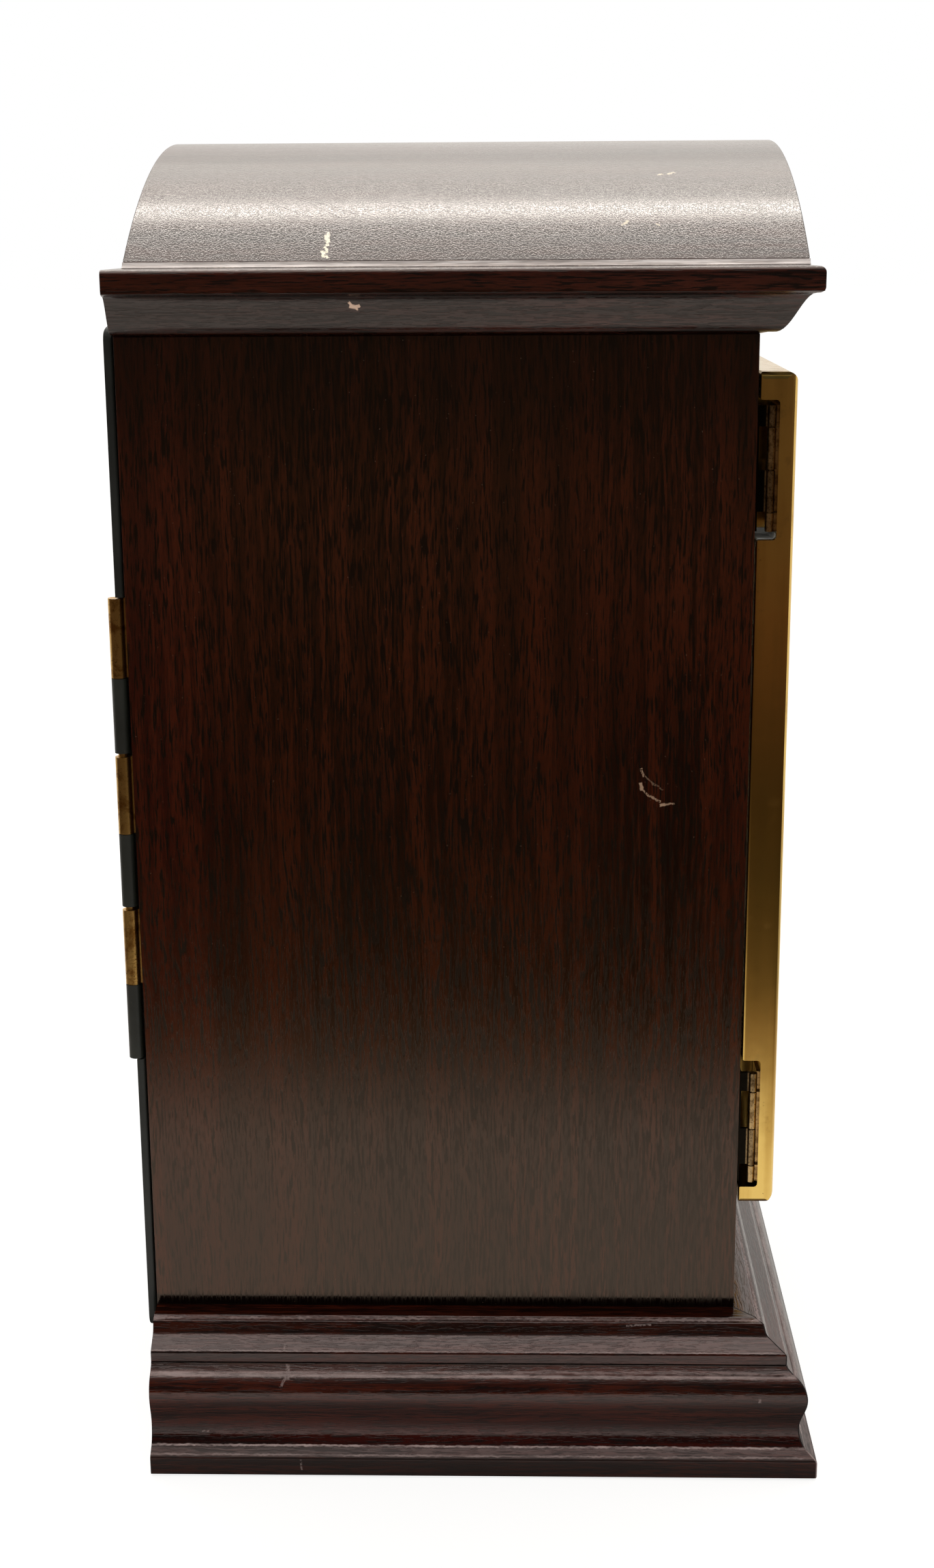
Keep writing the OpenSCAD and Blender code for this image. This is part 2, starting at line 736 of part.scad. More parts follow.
// A plain leaf ornament in each corner of the dial
module corner_spandrels() {
    corner_x = door_half_w - door_rail - 5;
    corner_z = door_h / 2 - door_rail - 5;
    color(brass) for (sx = [-1, 1]) for (sz = [-1, 1]) along_y(dial_front - 1.2, dial_front)
        translate([0, dial_z]) intersection() {
            translate([sx * corner_x, sz * corner_z]) union() {
                circle(r = 5, $fn = round_fn);
                translate([-sx * 7, -sz * 2]) circle(r = 4, $fn = round_fn);
                translate([-sx * 2, -sz * 7]) circle(r = 4, $fn = round_fn);
                translate([-sx * 13.5, -sz * 1]) circle(r = 3.2, $fn = round_fn);
                translate([-sx * 1, -sz * 13.5]) circle(r = 3.2, $fn = round_fn);
                translate([-sx * 19, 0]) circle(r = 2.6, $fn = round_fn);
                translate([0, -sz * 19]) circle(r = 2.6, $fn = round_fn);
                translate([-sx * 7, -sz * 7]) circle(r = 3.4, $fn = round_fn);
            }
            difference() {
                square([far, far], center = true);
                circle(r = ring_r + 0.5, $fn = 160);
            }
        }
}

// A flat hand with a ring, a leaf blade and a boss, pointing along +X before it is turned
module hand(l, blade, boss_r, hole_r, y, angle) {
    ring_x = l * 0.56;
    ring_in = blade * 0.34;
    translate([centre_at[0], 0, centre_at[1]]) rotate([0, -angle, 0]) difference() {
        union() {
            bar_y([0, 0], boss_r, y, y + hand_t);
            bar_y([ring_x, 0], blade * 0.6, y, y + hand_t);
            along_y(y, y + hand_t) polygon([[0, -1.2], [ring_x, -0.9], [ring_x + ring_in, -0.8],
                [l * 0.7, -blade / 2], [l * 0.8, -blade * 0.28], [l, -0.15],
                [l, 0.15], [l * 0.8, blade * 0.28], [l * 0.7, blade / 2],
                [ring_x + ring_in, 0.8], [ring_x, 0.9], [0, 1.2]]);
        }
        bar_y([0, 0], hole_r, y - 1, y + hand_t + 1);
        bar_y([ring_x, 0], ring_in, y - 1, y + hand_t + 1);
    }
}

module minute_hand() {
    color(blued) hand(minute_l, 5.4, 4.2, minute_square_r, minute_y, minute_angle);
}

module hour_hand() {
    color(blued) hand(hour_l, 7.6, 6, hour_pipe_r, hour_y, hour_angle);
}

module hand_nut() {
    color(brass) difference() {
        bar_y(centre_at, 3, pipe_end, minute_y);
        bar_y(centre_at, minute_square_r, pipe_end - 1, minute_y + 1, fine_fn);
    }
}

// Back door
module back_door_panel() {
    a = [-back_door_half_w, back_door_z];
    b = [back_door_half_w, back_door_z + back_door_h];
    r = back_edge_r;
    inner = back_y + back_door_gap;
    round_y = 1.1;
    round_z = 2;
    color(black_paint) difference() {
        intersection() {
            along_y(inner, back_door_face) round_rect(a, b, back_corner_r);
            translate([0, 0, a[1]]) linear_extrude(back_door_h) polygon(concat([[b[0], back_door_face],
                [a[0], back_door_face]], oval([a[0] + r, inner + r], r, r, 180, 270, 5), [[b[0], inner]]));
            along_x(a[0], b[0]) polygon(concat([[inner, b[1]], [inner, a[1]]],
                oval([back_door_face - round_y, a[1] + round_z], round_y, round_z, -90, 0, 5),
                oval([back_door_face - round_y, b[1] - round_z], round_y, round_z, 0, 90, 5)));
        }
        block([a[0] - 1, back_y, back_hinge_top - back_hinge_l - 0.3],
            [back_cut_x, back_y + 10, back_hinge_top + 0.3]);
        bar_y([back_door_half_w - 12, dial_z], knob_screw_r, back_y, back_y + 10, fine_fn);
    }
}

// Heights of knuckle k of the back hinge, counted from its top
function back_knuckle_high(k) = back_hinge_top - k * back_knuckle_l;
function back_knuckle_low(k) = back_knuckle_high(k + 1)
    + (k == back_knuckles - 1 ? 0 : k % 2 == 0 ? back_tight_gap : back_open_gap);

// Every second knuckle from the first one, each with its web from corner a to corner b in plan
module back_knuckle_row(first, a, b) {
    for (k = [first:2:back_knuckles - 1]) {
        bar_z(back_hinge_x, back_hinge_y, back_knuckle_d / 2, back_knuckle_low(k), back_knuckle_high(k));
        block([a[0], a[1], back_knuckle_low(k)], [b[0], b[1], back_knuckle_high(k)]);
    }
}

module back_pin_hole() {
    bar_z(back_hinge_x, back_hinge_y, back_pin_r + run_fit, back_hinge_top - back_hinge_l - 1,
        back_hinge_top + 1);
}

module back_hinge_case_leaf() {
    leaf_y = back_y - back_leaf_t;
    color(brass) difference() {
        union() {
            back_knuckle_row(0, [back_hinge_x, leaf_y], [back_hinge_x + back_web_w, back_hinge_y]);
            block([back_hinge_x, leaf_y, back_hinge_top - back_hinge_l], [-inner_x, back_y, back_hinge_top]);
        }
        back_pin_hole();
    }
}

module back_hinge_door_leaf() {
    leaf_y = back_door_face + back_leaf_t;
    color(black_paint) difference() {
        union() {
            back_knuckle_row(1, [back_hinge_x, back_door_face], [back_cut_x + 1, leaf_y]);
            block([back_cut_x, back_door_face, back_hinge_top - back_hinge_l],
                [back_cut_x + back_leaf_w, leaf_y, back_hinge_top]);
        }
        back_pin_hole();
    }
}

module back_hinge_pin() {
    color(steel) bar_z(back_hinge_x, back_hinge_y, back_pin_r, back_hinge_top - back_hinge_l, back_hinge_top);
}

module back_door_knob() {
    place = [back_door_half_w - 12, dial_z];
    color(brass) {
        knob(place, back_door_face, back_knob_d, back_knob_out, 1);
        bar_y(place, knob_screw_r - run_fit, back_y + back_door_gap, back_door_face, fine_fn);
    }
}

// Movement frame
module arbor_holes(y0, y1) {
    for (p = [second_at, centre_at, third_at, escape_at, strike_second_at, pin_at, locking_at,
        warning_at, fly_at]) bar_y(p, pivot_r + run_fit, y0, y1, fine_fn);
    for (p = [going_barrel_at, strike_barrel_at]) bar_y(p, barrel_arbor_r + run_fit, y0, y1);
    bar_y(anchor_at, arbor_r + run_fit, y0, y1, fine_fn);
    bar_y(hammer_at, arbor_r + run_fit, y0, y1, fine_fn);
}

module plate_outline() {
    polygon([[-plate_half_w, plate_bottom], [plate_half_w, plate_bottom],
        [plate_half_w, plate_top], [-plate_half_w, plate_top]]);
}

module front_plate() {
    color(brass) {
        difference() {
            along_y(plate_front, train_front) plate_outline();
            arbor_holes(plate_front - 1, train_front + 1);
            bar_y(centre_at, arbor_r + run_fit, plate_front - 1, train_front + 1, fine_fn);
        }
        bar_y(minute_wheel_at, arbor_r, hour_layer - 1, plate_front, fine_fn);
        for (s = [-1, 1]) bar_y(click_at(s), arbor_r, ratchet_layer - 0.3, plate_front, fine_fn);
    }
}

module back_plate() {
    color(brass) difference() {
        along_y(train_back, plate_rear) plate_outline();
        arbor_holes(train_back - 1, plate_rear + 1);
    }
}

module plate_pillars() {
    color(brass) for (p = pillar_spots) {
        bar_y(p, pillar_r, train_front, train_back);
        bar_y(p, pillar_r + 1, train_front + plate_gap * 0.45, train_front + plate_gap * 0.55);
    }
}

// Bridge behind the back plate that carries the anchor and hangs the pendulum
module back_cock() {
    z = anchor_at[1];
    half = 20;
    foot = 6;
    high = 7;
    color(brass) difference() {
        union() {
            for (s = [0, 1]) block([s ? half - foot : -half, plate_rear, z - high],
                [s ? half : foot - half, plate_rear + cock_out, z + high]);
            block([-half, plate_rear + cock_out - cock_t, z - high], [half, plate_rear + cock_out, z + high]);
            block([-3, plate_rear + cock_out, z + spring_top + 0.3], [3, pendulum_y + 3, z + high]);
        }
        bar_y(anchor_at, arbor_r + run_fit, plate_rear - 1, plate_rear + cock_out + 1, fine_fn);
    }
}

// A toothed outline; half widths are shares of the tooth pitch
function teeth(n, m, root_w, tip_w, down, up) = [for (i = [0:n - 1])
    for (q = [[-root_w, -down], [-tip_w, up], [tip_w, up], [root_w, -down]])
    let (a = 360 / n * (i + q[0]), r = m * (n / 2 + q[1])) [r * cos(a), r * sin(a)]];

module wheel_face(n, m, turn) {
    rim = n * m / 2 - 1.1 * m - rim_w;
    rotate(turn) difference() {
        polygon(teeth(n, m, 0.3, 0.1, 1.1, 0.75));
        difference() {
            circle(r = rim, $fn = round_fn);
            circle(r = hub_r + 1, $fn = round_fn);
            for (a = [0:72:359]) rotate(a) translate([0, -spoke_w / 2]) square([rim + 1, spoke_w]);
        }
    }
}

module pinion_face(n, m, turn) {
    rotate(turn) polygon(teeth(n, m, 0.22, 0.1, 1.05, 0.75));
}

// An arbor with one wheel and one pinion; both layers are their front faces
module wheel_and_pinion(p, n, m, turn, layer, leaves, leaf_m, leaf_layer, leaf_l) {
    color(brass) along_y(layer, layer + wheel_t) translate(p) wheel_face(n, m, turn);
    color(steel) {
        along_y(leaf_layer, leaf_layer + leaf_l) translate(p) pinion_face(leaves, leaf_m, turn);
        bar_y(p, arbor_r, train_front + shoulder, train_back - shoulder, fine_fn);
        bar_y(p, pivot_r, plate_front, plate_rear, fine_fn);
    }
}

// Spring barrel: drum, toothed ring and cap, open round its arbor
module barrel(p) {
    wall = 1.2;
    color(brass) difference() {
        union() {
            bar_y(p, drum_r, drum_front, barrel_layer + barrel_teeth_t, 96);
            along_y(barrel_layer, barrel_layer + barrel_teeth_t) translate(p)
                polygon(teeth(barrel_teeth, barrel_m, 0.3, 0.1, 1.1, 0.75));
            bar_y(p, barrel_arbor_r + 3, drum_front - 1, barrel_layer + barrel_teeth_t + 1);
        }
        bar_y(p, drum_r - wall, drum_front + wall, barrel_layer, 96);
        bar_y(p, barrel_arbor_r + run_fit, drum_front - 2, barrel_layer + barrel_teeth_t + 2);
    }
}

// Coiled spring strip, hooked to the drum wall at its outer end
module mainspring(p) {
    turns = 7;
    steps = 20;
    strip = 0.8;
    inner = barrel_arbor_r + 3.5;
    outer = drum_r - 1.2 - strip / 2 - 0.3;
    function coil(side) = [for (i = [0:turns * steps])
        let (r = inner + (outer - inner) * i / (turns * steps) + side * strip / 2, a = 360 * i / steps)
        [r * cos(a), r * sin(a)]];
    color(steel) along_y(drum_front + 2, barrel_layer - 0.8) translate(p)
        polygon(concat(coil(1), [for (i = [turns * steps:-1:0]) coil(-1)[i]]));
}

// Ratchet outline with slanting teeth
module ratchet_face() {
    polygon([for (i = [0:ratchet_teeth - 1]) for (q = [[0, ratchet_r - 1.2], [0.05, ratchet_r]])
        let (a = 360 / ratchet_teeth * (i + q[0])) [q[1] * cos(a), q[1] * sin(a)]]);
}

// Winding arbor with its square in front and its ratchet wheel
module winding_arbor(p) {
    color(steel) {
        bar_y(p, barrel_arbor_r, ratchet_layer - 1, plate_rear);
        bar_y(p, barrel_arbor_r + 1, train_front + shoulder, drum_front - 1 - shoulder);
        along_y(ratchet_layer, ratchet_layer + ratchet_t) translate(p) ratchet_face();
        translate([p[0] - square_w / 2, winding_end, p[1] - square_w / 2])
            cube([square_w, ratchet_layer - winding_end, square_w]);
    }
}

function click_at(s) = centre_at + [s * wind_x, -wind_drop]
    + step([0, 0], ratchet_r + click_reach, s > 0 ? -60 : -120);

// Pawl that hangs by its stud and points at the ratchet wheel
module click(s) {
    centre = centre_at + [s * wind_x, -wind_drop];
    place = click_at(s);
    toward = atan2(centre[1] - place[1], centre[0] - place[0]);
    tip = click_reach - click_gap;
    color(steel) along_y(ratchet_layer, ratchet_layer + ratchet_t) translate(place) rotate(toward)
        difference() {
            union() {
                circle(r = 2.6, $fn = round_fn);
                polygon([[0, 2.4], [0, -2.4], [tip, -0.6], [tip, 0.6]]);
            }
            circle(r = arbor_r + run_fit, $fn = fine_fn);
        }
}

module going_barrel() {
    barrel(going_barrel_at);
}

module strike_barrel() {
    barrel(strike_barrel_at);
}

module going_mainspring() {
    mainspring(going_barrel_at);
}

module strike_mainspring() {
    mainspring(strike_barrel_at);
}

module going_winding_arbor() {
    winding_arbor(going_barrel_at);
}

module strike_winding_arbor() {
    winding_arbor(strike_barrel_at);
}

module going_click() {
    click(1);
}

module strike_click() {
    click(-1);
}

// Going train
module going_second_wheel() {
    wheel_and_pinion(second_at, second_teeth, second_m, second_phase, second_layer,
        second_leaves, barrel_m, barrel_layer - leaf_over, barrel_teeth_t + 2 * leaf_over);
}

module centre_wheel() {
    wheel_and_pinion(centre_at, centre_teeth, centre_m, centre_phase, centre_layer,
        centre_leaves, second_m, second_layer - leaf_over, wheel_t + 2 * leaf_over);
    color(steel) bar_y(centre_at, arbor_r, pipe_end, train_front + shoulder, fine_fn);
}

module third_wheel() {
    wheel_and_pinion(third_at, third_teeth, third_m, third_phase, third_layer,
        third_leaves, centre_m, centre_layer - leaf_over, wheel_t + 2 * leaf_over);
}

module escape_wheel() {
    root = escape_r - 2.2;
    color(brass) along_y(escape_layer, escape_layer + wheel_t) translate(escape_at) rotate(escape_phase)
        difference() {
            polygon([for (i = [0:escape_teeth - 1])
                for (q = [[0, root], [0.42, escape_r], [0.5, escape_r], [0.62, root]])
                let (a = 360 / escape_teeth * (i + q[0])) [q[1] * cos(a), q[1] * sin(a)]]);
            difference() {
                circle(r = root - 1.6, $fn = round_fn);
                circle(r = hub_r, $fn = round_fn);
                for (a = [0:90:359]) rotate(a) translate([0, -0.9]) square([root, 1.8]);
            }
        }
    color(steel) {
        along_y(third_layer - leaf_over, third_layer + wheel_t + leaf_over) translate(escape_at)
            pinion_face(escape_leaves, third_m, escape_phase);
        bar_y(escape_at, arbor_r, train_front + shoulder, train_back - shoulder, fine_fn);
        bar_y(escape_at, pivot_r, plate_front, plate_rear, fine_fn);
    }
}

// Motion work
module cannon_pinion() {
    color(steel) difference() {
        union() {
            along_y(cannon_layer, cannon_layer + 2.5) translate(centre_at)
                polygon(teeth(cannon_teeth, cannon_m, 0.24, 0.1, 1.05, 0.75));
            bar_y(centre_at, cannon_r, minute_y + hand_t, cannon_layer + 3.6);
            bar_y(centre_at, minute_square_r, pipe_end, minute_y + hand_t, fine_fn);
        }
        bar_y(centre_at, cannon_bore, pipe_end - 1, plate_front, fine_fn);
    }
}

module minute_wheel() {
    color(brass) difference() {
        union() {
            along_y(cannon_layer + 0.3, cannon_layer + 0.3 + wheel_t) translate(minute_wheel_at)
                rotate(minute_wheel_phase) polygon(teeth(minute_wheel_teeth, cannon_m, 0.3, 0.1, 1.1, 0.75));
            along_y(hour_layer - 0.5, cannon_layer + 0.3) translate(minute_wheel_at)
                pinion_face(minute_leaves, hour_m, minute_wheel_phase);
        }
        bar_y(minute_wheel_at, arbor_r + run_fit, hour_layer - 2, plate_front, fine_fn);
    }
}

module hour_wheel() {
    color(brass) difference() {
        union() {
            along_y(hour_layer, hour_layer + wheel_t) translate(centre_at) rotate(hour_phase)
                polygon(teeth(hour_teeth, hour_m, 0.3, 0.1, 1.1, 0.75));
            bar_y(centre_at, hour_pipe_r, hour_y, hour_layer + wheel_t);
        }
        bar_y(centre_at, hour_pipe_bore, hour_y - 1, hour_layer + wheel_t + 1);
    }
}

// Anchor on its arbor, with the crutch behind the back plate
module anchor() {
    lift = norm(step([0, 0], escape_r, 90 - pallet_angle) + escape_at - anchor_at) * sin(swing);
    nib = step([0, 0], escape_r + lift + swing_clear, 90 - pallet_angle);
    up = anchor_at - escape_at;
    color(steel) {
        along_y(escape_layer, escape_layer + wheel_t) translate(escape_at) union() {
            translate(up) circle(r = 3.4, $fn = round_fn);
            for (s = [-1, 1]) polygon([[0, up[1] + 3], [s * (nib[0] + 5), nib[1] + 4],
                [s * (nib[0] + 4.2), nib[1] - 2], [s * nib[0], nib[1]],
                [s * (nib[0] + 0.6), nib[1] + 3.4], [0, up[1] - 3]]);
        }
        bar_y(anchor_at, arbor_r, plate_front, plate_rear + cock_out, fine_fn);
        block([-1, plate_rear + 2, anchor_at[1] - crutch_drop], [1, plate_rear + 3.2, anchor_at[1]]);
        for (s = [-1, 1]) block([s > 0 ? 1.4 : -2.6, plate_rear + 2, anchor_at[1] - crutch_drop - 2],
            [s > 0 ? 2.6 : -1.4, pendulum_y + 3, anchor_at[1] - crutch_drop + 1]);
        block([-2.6, plate_rear + 2, anchor_at[1] - crutch_drop - 2],
            [2.6, plate_rear + 3.2, anchor_at[1] - crutch_drop + 1]);
    }
}

// Pendulum: spring strip, flat rod, lens-shaped bob and rating nut
module pendulum() {
    rod_top_z = anchor_at[1] - strip_l;
    bob_z = anchor_at[1] - pendulum_l;
    color(steel) {
        block([-1.2, pendulum_y - 0.6, bob_z - bob_d / 2 - 8], [1.2, pendulum_y + 0.6, rod_top_z]);
        block([-2.4, pendulum_y - 0.2, rod_top_z],
            [2.4, pendulum_y + 0.2, anchor_at[1] + spring_top]);
    }
    color(brass) translate([0, pendulum_y, bob_z]) rotate([90, 0, 0]) difference() {
        rotate_extrude($fn = 96) polygon(concat([[0, -4.5], [bob_d * 0.28, -4]],
            oval([bob_d / 2 - 1.2, 0], 1.2, 1.5, -90, 90, 6), [[bob_d * 0.28, 4], [0, 4.5]]));
        translate([-1.2, -bob_d, -0.6]) cube([2.4, 2 * bob_d, 1.2]);
    }
    color(brass) difference() {
        bar_z(0, pendulum_y, 3.2, bob_z - bob_d / 2 - 3.4, bob_z - bob_d / 2 - 0.4);
        block([-1.2, pendulum_y - 0.6, 0], [1.2, pendulum_y + 0.6, bob_z]);
    }
}

// Strike train
module strike_second_wheel() {
    wheel_and_pinion(strike_second_at, strike_second_teeth, second_m, strike_second_phase, second_layer,
        second_leaves, barrel_m, barrel_layer - leaf_over, barrel_teeth_t + 2 * leaf_over);
}

module pin_wheel() {
    wheel_and_pinion(pin_at, pin_teeth, pin_m, pin_phase, pin_layer,
        pin_leaves, second_m, second_layer - leaf_over, wheel_t + 2 * leaf_over);
    color(steel) for (i = [0:7]) bar_y(step(pin_at, pin_circle, 45 * i), 0.6, pin_layer + wheel_t,
        pin_layer + wheel_t + 3, fine_fn);
}

module locking_wheel() {
    wheel_and_pinion(locking_at, locking_teeth, locking_m, locking_phase, locking_layer,
        locking_leaves, pin_m, pin_layer - leaf_over, wheel_t + 2 * leaf_over);
}

module warning_wheel() {
    wheel_and_pinion(warning_at, warning_teeth, warning_m, warning_phase, warning_layer,
        warning_leaves, locking_m, locking_layer - leaf_over, wheel_t + 2 * leaf_over);
}

module fly() {
    vane_half = 8.6;
    color(steel) {
        along_y(warning_layer - leaf_over, warning_layer + wheel_t + leaf_over) translate(fly_at)
            pinion_face(fly_leaves, warning_m, fly_phase);
        bar_y(fly_at, arbor_r, train_front + shoulder, train_back - shoulder, fine_fn);
        bar_y(fly_at, pivot_r, plate_front, plate_rear, fine_fn);
    }
    color(brass) block([fly_at[0] - vane_half, train_front + 2, fly_at[1] - 0.3],
        [fly_at[0] + vane_half, locking_layer - 1, fly_at[1] + 0.3]);
}

// Hammer arbor with its tail at the pin wheel, two wire arms and two heads
module hammer() {
    tail = norm(pin_at - hammer_at) - pin_circle - 1.2;
    toward = atan2(pin_at[1] - hammer_at[1], pin_at[0] - hammer_at[0]);
    color(steel) {
        bar_y(hammer_at, arbor_r, plate_front, rod_y + rod_pitch + 3, fine_fn);
        along_y(pin_layer + wheel_t + 0.6, pin_layer + wheel_t + 2.4) translate(hammer_at) union() {
            circle(r = 2.8, $fn = round_fn);
            rotate(toward) polygon([[0, 2], [0, -2], [tail, -0.7], [tail, 0.7]]);
        }
        for (y = [rod_y, rod_y + rod_pitch]) {
            bar_y(hammer_at, 3, y - 2, y + 2);
            translate([hammer_at[0], y, hammer_at[1]]) rotate([0, -180 + hammer_lean, 0])
                cylinder(h = hammer_l, r = 1, $fn = fine_fn);
        }
    }
    color(brass) for (y = [rod_y, rod_y + rod_pitch]) translate([hammer_end[0], y, hammer_end[1]])
        rotate([0, 90, 0]) translate([0, 0, -hammer_head_l / 2])
        cylinder(h = hammer_head_l, r = hammer_head_r, $fn = round_fn);
}

// Cast block on the bottom board with two upright rods
module gong_block() {
    color(iron) difference() {
        block([rod_x - gong_side, rod_y - gong_end, floor_z],
            [rod_x + gong_side, rod_y + rod_pitch + gong_end, floor_z + gong_block_h]);
        for (y = [rod_y, rod_y + rod_pitch])
            bar_z(rod_x, y, rod_d / 2, floor_z + gong_block_h - rod_hole, floor_z + gong_block_h + 1);
    }
}

module gong_rods() {
    color(aged_brass) for (y = [rod_y, rod_y + rod_pitch])
        bar_z(rod_x, y, rod_d / 2, floor_z + gong_block_h - rod_hole, rod_top);
}

base_plinth();
base_upper_moulding();
base_panel();
bottom_board();
left_side_panel();
right_side_panel();
front_frame();
top_board();
cornice_moulding();
roof_base_board();
roof_shell();
roof_end_panels();
seat_board();
front_door_frame();
front_door_glass();
glass_retainer();
front_hinge_case_leaves();
front_hinge_door_leaves();
front_hinge_pins();
front_door_knob();
dial_plate();
chapter_ring();
corner_spandrels();
minute_hand();
hour_hand();
hand_nut();
back_door_panel();
back_hinge_case_leaf();
back_hinge_door_leaf();
back_hinge_pin();
back_door_knob();
front_plate();
back_plate();
plate_pillars();
back_cock();
going_barrel();
going_mainspring();
going_winding_arbor();
going_click();
going_second_wheel();
centre_wheel();
third_wheel();
escape_wheel();
cannon_pinion();
minute_wheel();
hour_wheel();
anchor();
pendulum();
strike_barrel();
strike_mainspring();
strike_winding_arbor();
strike_click();
strike_second_wheel();
pin_wheel();
locking_wheel();
warning_wheel();
fly();
hammer();
gong_block();
gong_rods();
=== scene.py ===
import bpy
import math
from mathutils import Matrix, Vector


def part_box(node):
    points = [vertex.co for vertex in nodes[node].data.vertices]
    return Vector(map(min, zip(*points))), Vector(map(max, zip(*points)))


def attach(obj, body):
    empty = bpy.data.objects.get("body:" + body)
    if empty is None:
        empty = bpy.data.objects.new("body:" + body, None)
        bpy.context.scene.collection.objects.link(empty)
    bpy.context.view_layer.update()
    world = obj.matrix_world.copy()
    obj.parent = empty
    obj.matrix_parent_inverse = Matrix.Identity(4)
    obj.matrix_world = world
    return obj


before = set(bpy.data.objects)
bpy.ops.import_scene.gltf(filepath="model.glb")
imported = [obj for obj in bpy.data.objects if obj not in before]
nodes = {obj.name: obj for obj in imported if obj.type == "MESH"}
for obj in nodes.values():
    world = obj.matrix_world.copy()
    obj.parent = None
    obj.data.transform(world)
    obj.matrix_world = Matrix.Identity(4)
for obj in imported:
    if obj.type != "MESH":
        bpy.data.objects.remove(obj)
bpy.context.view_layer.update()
MM = 0.001

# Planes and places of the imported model
side_lo, side_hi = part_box("left_side_panel")
half_w = -side_lo.x
front_y = side_lo.y
back_y = side_hi.y
ledge_z = side_lo.z
case_top = side_hi.z
base_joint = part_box("base_plinth")[1].z
cornice_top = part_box("cornice_moulding")[1].z
door_lo, door_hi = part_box("front_door_frame")
dial_lo, dial_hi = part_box("chapter_ring")
dial_centre = (dial_lo + dial_hi) / 2

# Heights in the lower moulding, above the table
block_top = 0.0070
groove_z = 0.0096


# Node graphs
class Graph:
    """Short calls for building one material, or the world."""

    def __init__(self, name, world=False):
        self.made = bpy.data.worlds.new(name) if world else bpy.data.materials.new(name)
        self.made.use_nodes = True
        self.tree = self.made.node_tree
        self.tree.nodes.clear()
        self.out = self.tree.nodes.new("ShaderNodeOutputWorld" if world else "ShaderNodeOutputMaterial")
        self._place = None

    def node(self, kind, inputs=(), **settings):
        made = self.tree.nodes.new(kind)
        for key, value in settings.items():
            setattr(made, key, value)
        for key, value in dict(inputs).items():
            self.put(made.inputs[key], value)
        return made

    def put(self, socket, value):
        if isinstance(value, bpy.types.NodeSocket):
            self.tree.links.new(value, socket)
        elif isinstance(value, tuple) and len(value) == 3 and socket.type == "RGBA":
            socket.default_value = (*value, 1)
        else:
            socket.default_value = value

    def place(self):
        if self._place is None:
            self._place = self.node("ShaderNodeTexCoord").outputs["Object"]
        return self._place

    def xyz(self):
        split = self.node("ShaderNodeSeparateXYZ", {0: self.place()})
        return split.outputs[0], split.outputs[1], split.outputs[2]

    def math(self, kind, a, b=0.0):
        return self.node("ShaderNodeMath", {0: a, 1: b}, operation=kind).outputs[0]

    def plus(self, a, b):
        return self.math("ADD", a, b)

    def minus(self, a, b):
        return self.math("SUBTRACT", a, b)

    def times(self, a, b):
        return self.math("MULTIPLY", a, b)

    def larger(self, a, b):
        return self.math("MAXIMUM", a, b)

    def size(self, a):
        return self.math("ABSOLUTE", a)

    def apart(self, a, b):
        return self.size(self.minus(a, b))

    def length(self, a, b):
        return self.math("SQRT", self.plus(self.times(a, a), self.times(b, b)))

    def centred(self, noise, reach):
        """Noise of 0 to 1 as a shift to both sides of zero"""
        return self.times(self.minus(noise, 0.5), reach)

    def vector(self, x, y, z):
        return self.node("ShaderNodeCombineXYZ", {0: x, 1: y, 2: z}).outputs[0]

    def noise(self, at, scale=1.0, detail=3.0, rough=0.5, bend=0.0):
        made = self.node("ShaderNodeTexNoise", {"Vector": at, "Scale": scale, "Detail": detail,
                                                "Roughness": rough, "Distortion": bend})
        return made.outputs["Fac"]

    def cloud(self, scale, detail=3.0, rough=0.5, bend=0.0):
        """Noise of the same size in all directions"""
        return self.noise(self.place(), scale, detail, rough, bend)

    def streaks(self, coords, stretch, detail, rough=0.5):
        """Noise with a size of its own along each of three coordinates"""
        scaled = [self.times(value, scale) for value, scale in zip(coords, stretch)]
        return self.noise(self.vector(*scaled), 1, detail, rough)

    def span(self, value, low, high, a=0.0, b=1.0):
        """value from low..high to a..b, held at both ends"""
        made = self.node("ShaderNodeMapRange", {"Value": value, "From Min": low, "From Max": high,
                                                "To Min": a, "To Max": b})
        made.interpolation_type = "SMOOTHSTEP"
        return made.outputs["Result"]

    def ramp(self, value, stops):
        made = self.node("ShaderNodeValToRGB", {"Fac": value})
        band = made.color_ramp
        while len(band.elements) < len(stops):
            band.elements.new(0.5)
        for element, (at, colour) in zip(band.elements, stops):
            element.position = at
            element.color = (*colour, 1)
        return made.outputs["Color"]

    def mix(self, share, a, b, kind="MIX"):
        made = self.node("ShaderNodeMix", data_type="RGBA", blend_type=kind)
        self.put(made.inputs[0], share)
        self.put(made.inputs[6], a)
        self.put(made.inputs[7], b)
        return made.outputs[2]

    def tinted(self, colour, by):
        return self.mix(1.0, colour, by, "MULTIPLY")

    def bump(self, height, distance, normal=None):
        made = self.node("ShaderNodeBump", {"Height": height, "Distance": distance, "Strength": 1.0})
        if normal is not None:
            self.put(made.inputs["Normal"], normal)
        return made.outputs["Normal"]

    def surface(self, **inputs):
        names = {key.replace("_", " ").title().replace("Ior", "IOR"): value for key, value in inputs.items()}
        return self.finish(self.node("ShaderNodeBsdfPrincipled", names).outputs[0])

    def finish(self, shader):
        self.tree.links.new(shader, self.out.inputs["Surface"])
        return self.made

    def mix_shader(self, share, a, b):
        return self.node("ShaderNodeMixShader", {0: share, 1: a, 2: b}).outputs[0]

    def rays(self):
        """1 for what the camera sees itself or through glass, and 1 for what a polished face mirrors"""
        path = self.node("ShaderNodeLightPath")
        seen = self.larger(path.outputs["Is Camera Ray"], path.outputs["Is Transmission Ray"])
        return seen, path.outputs["Is Glossy Ray"]

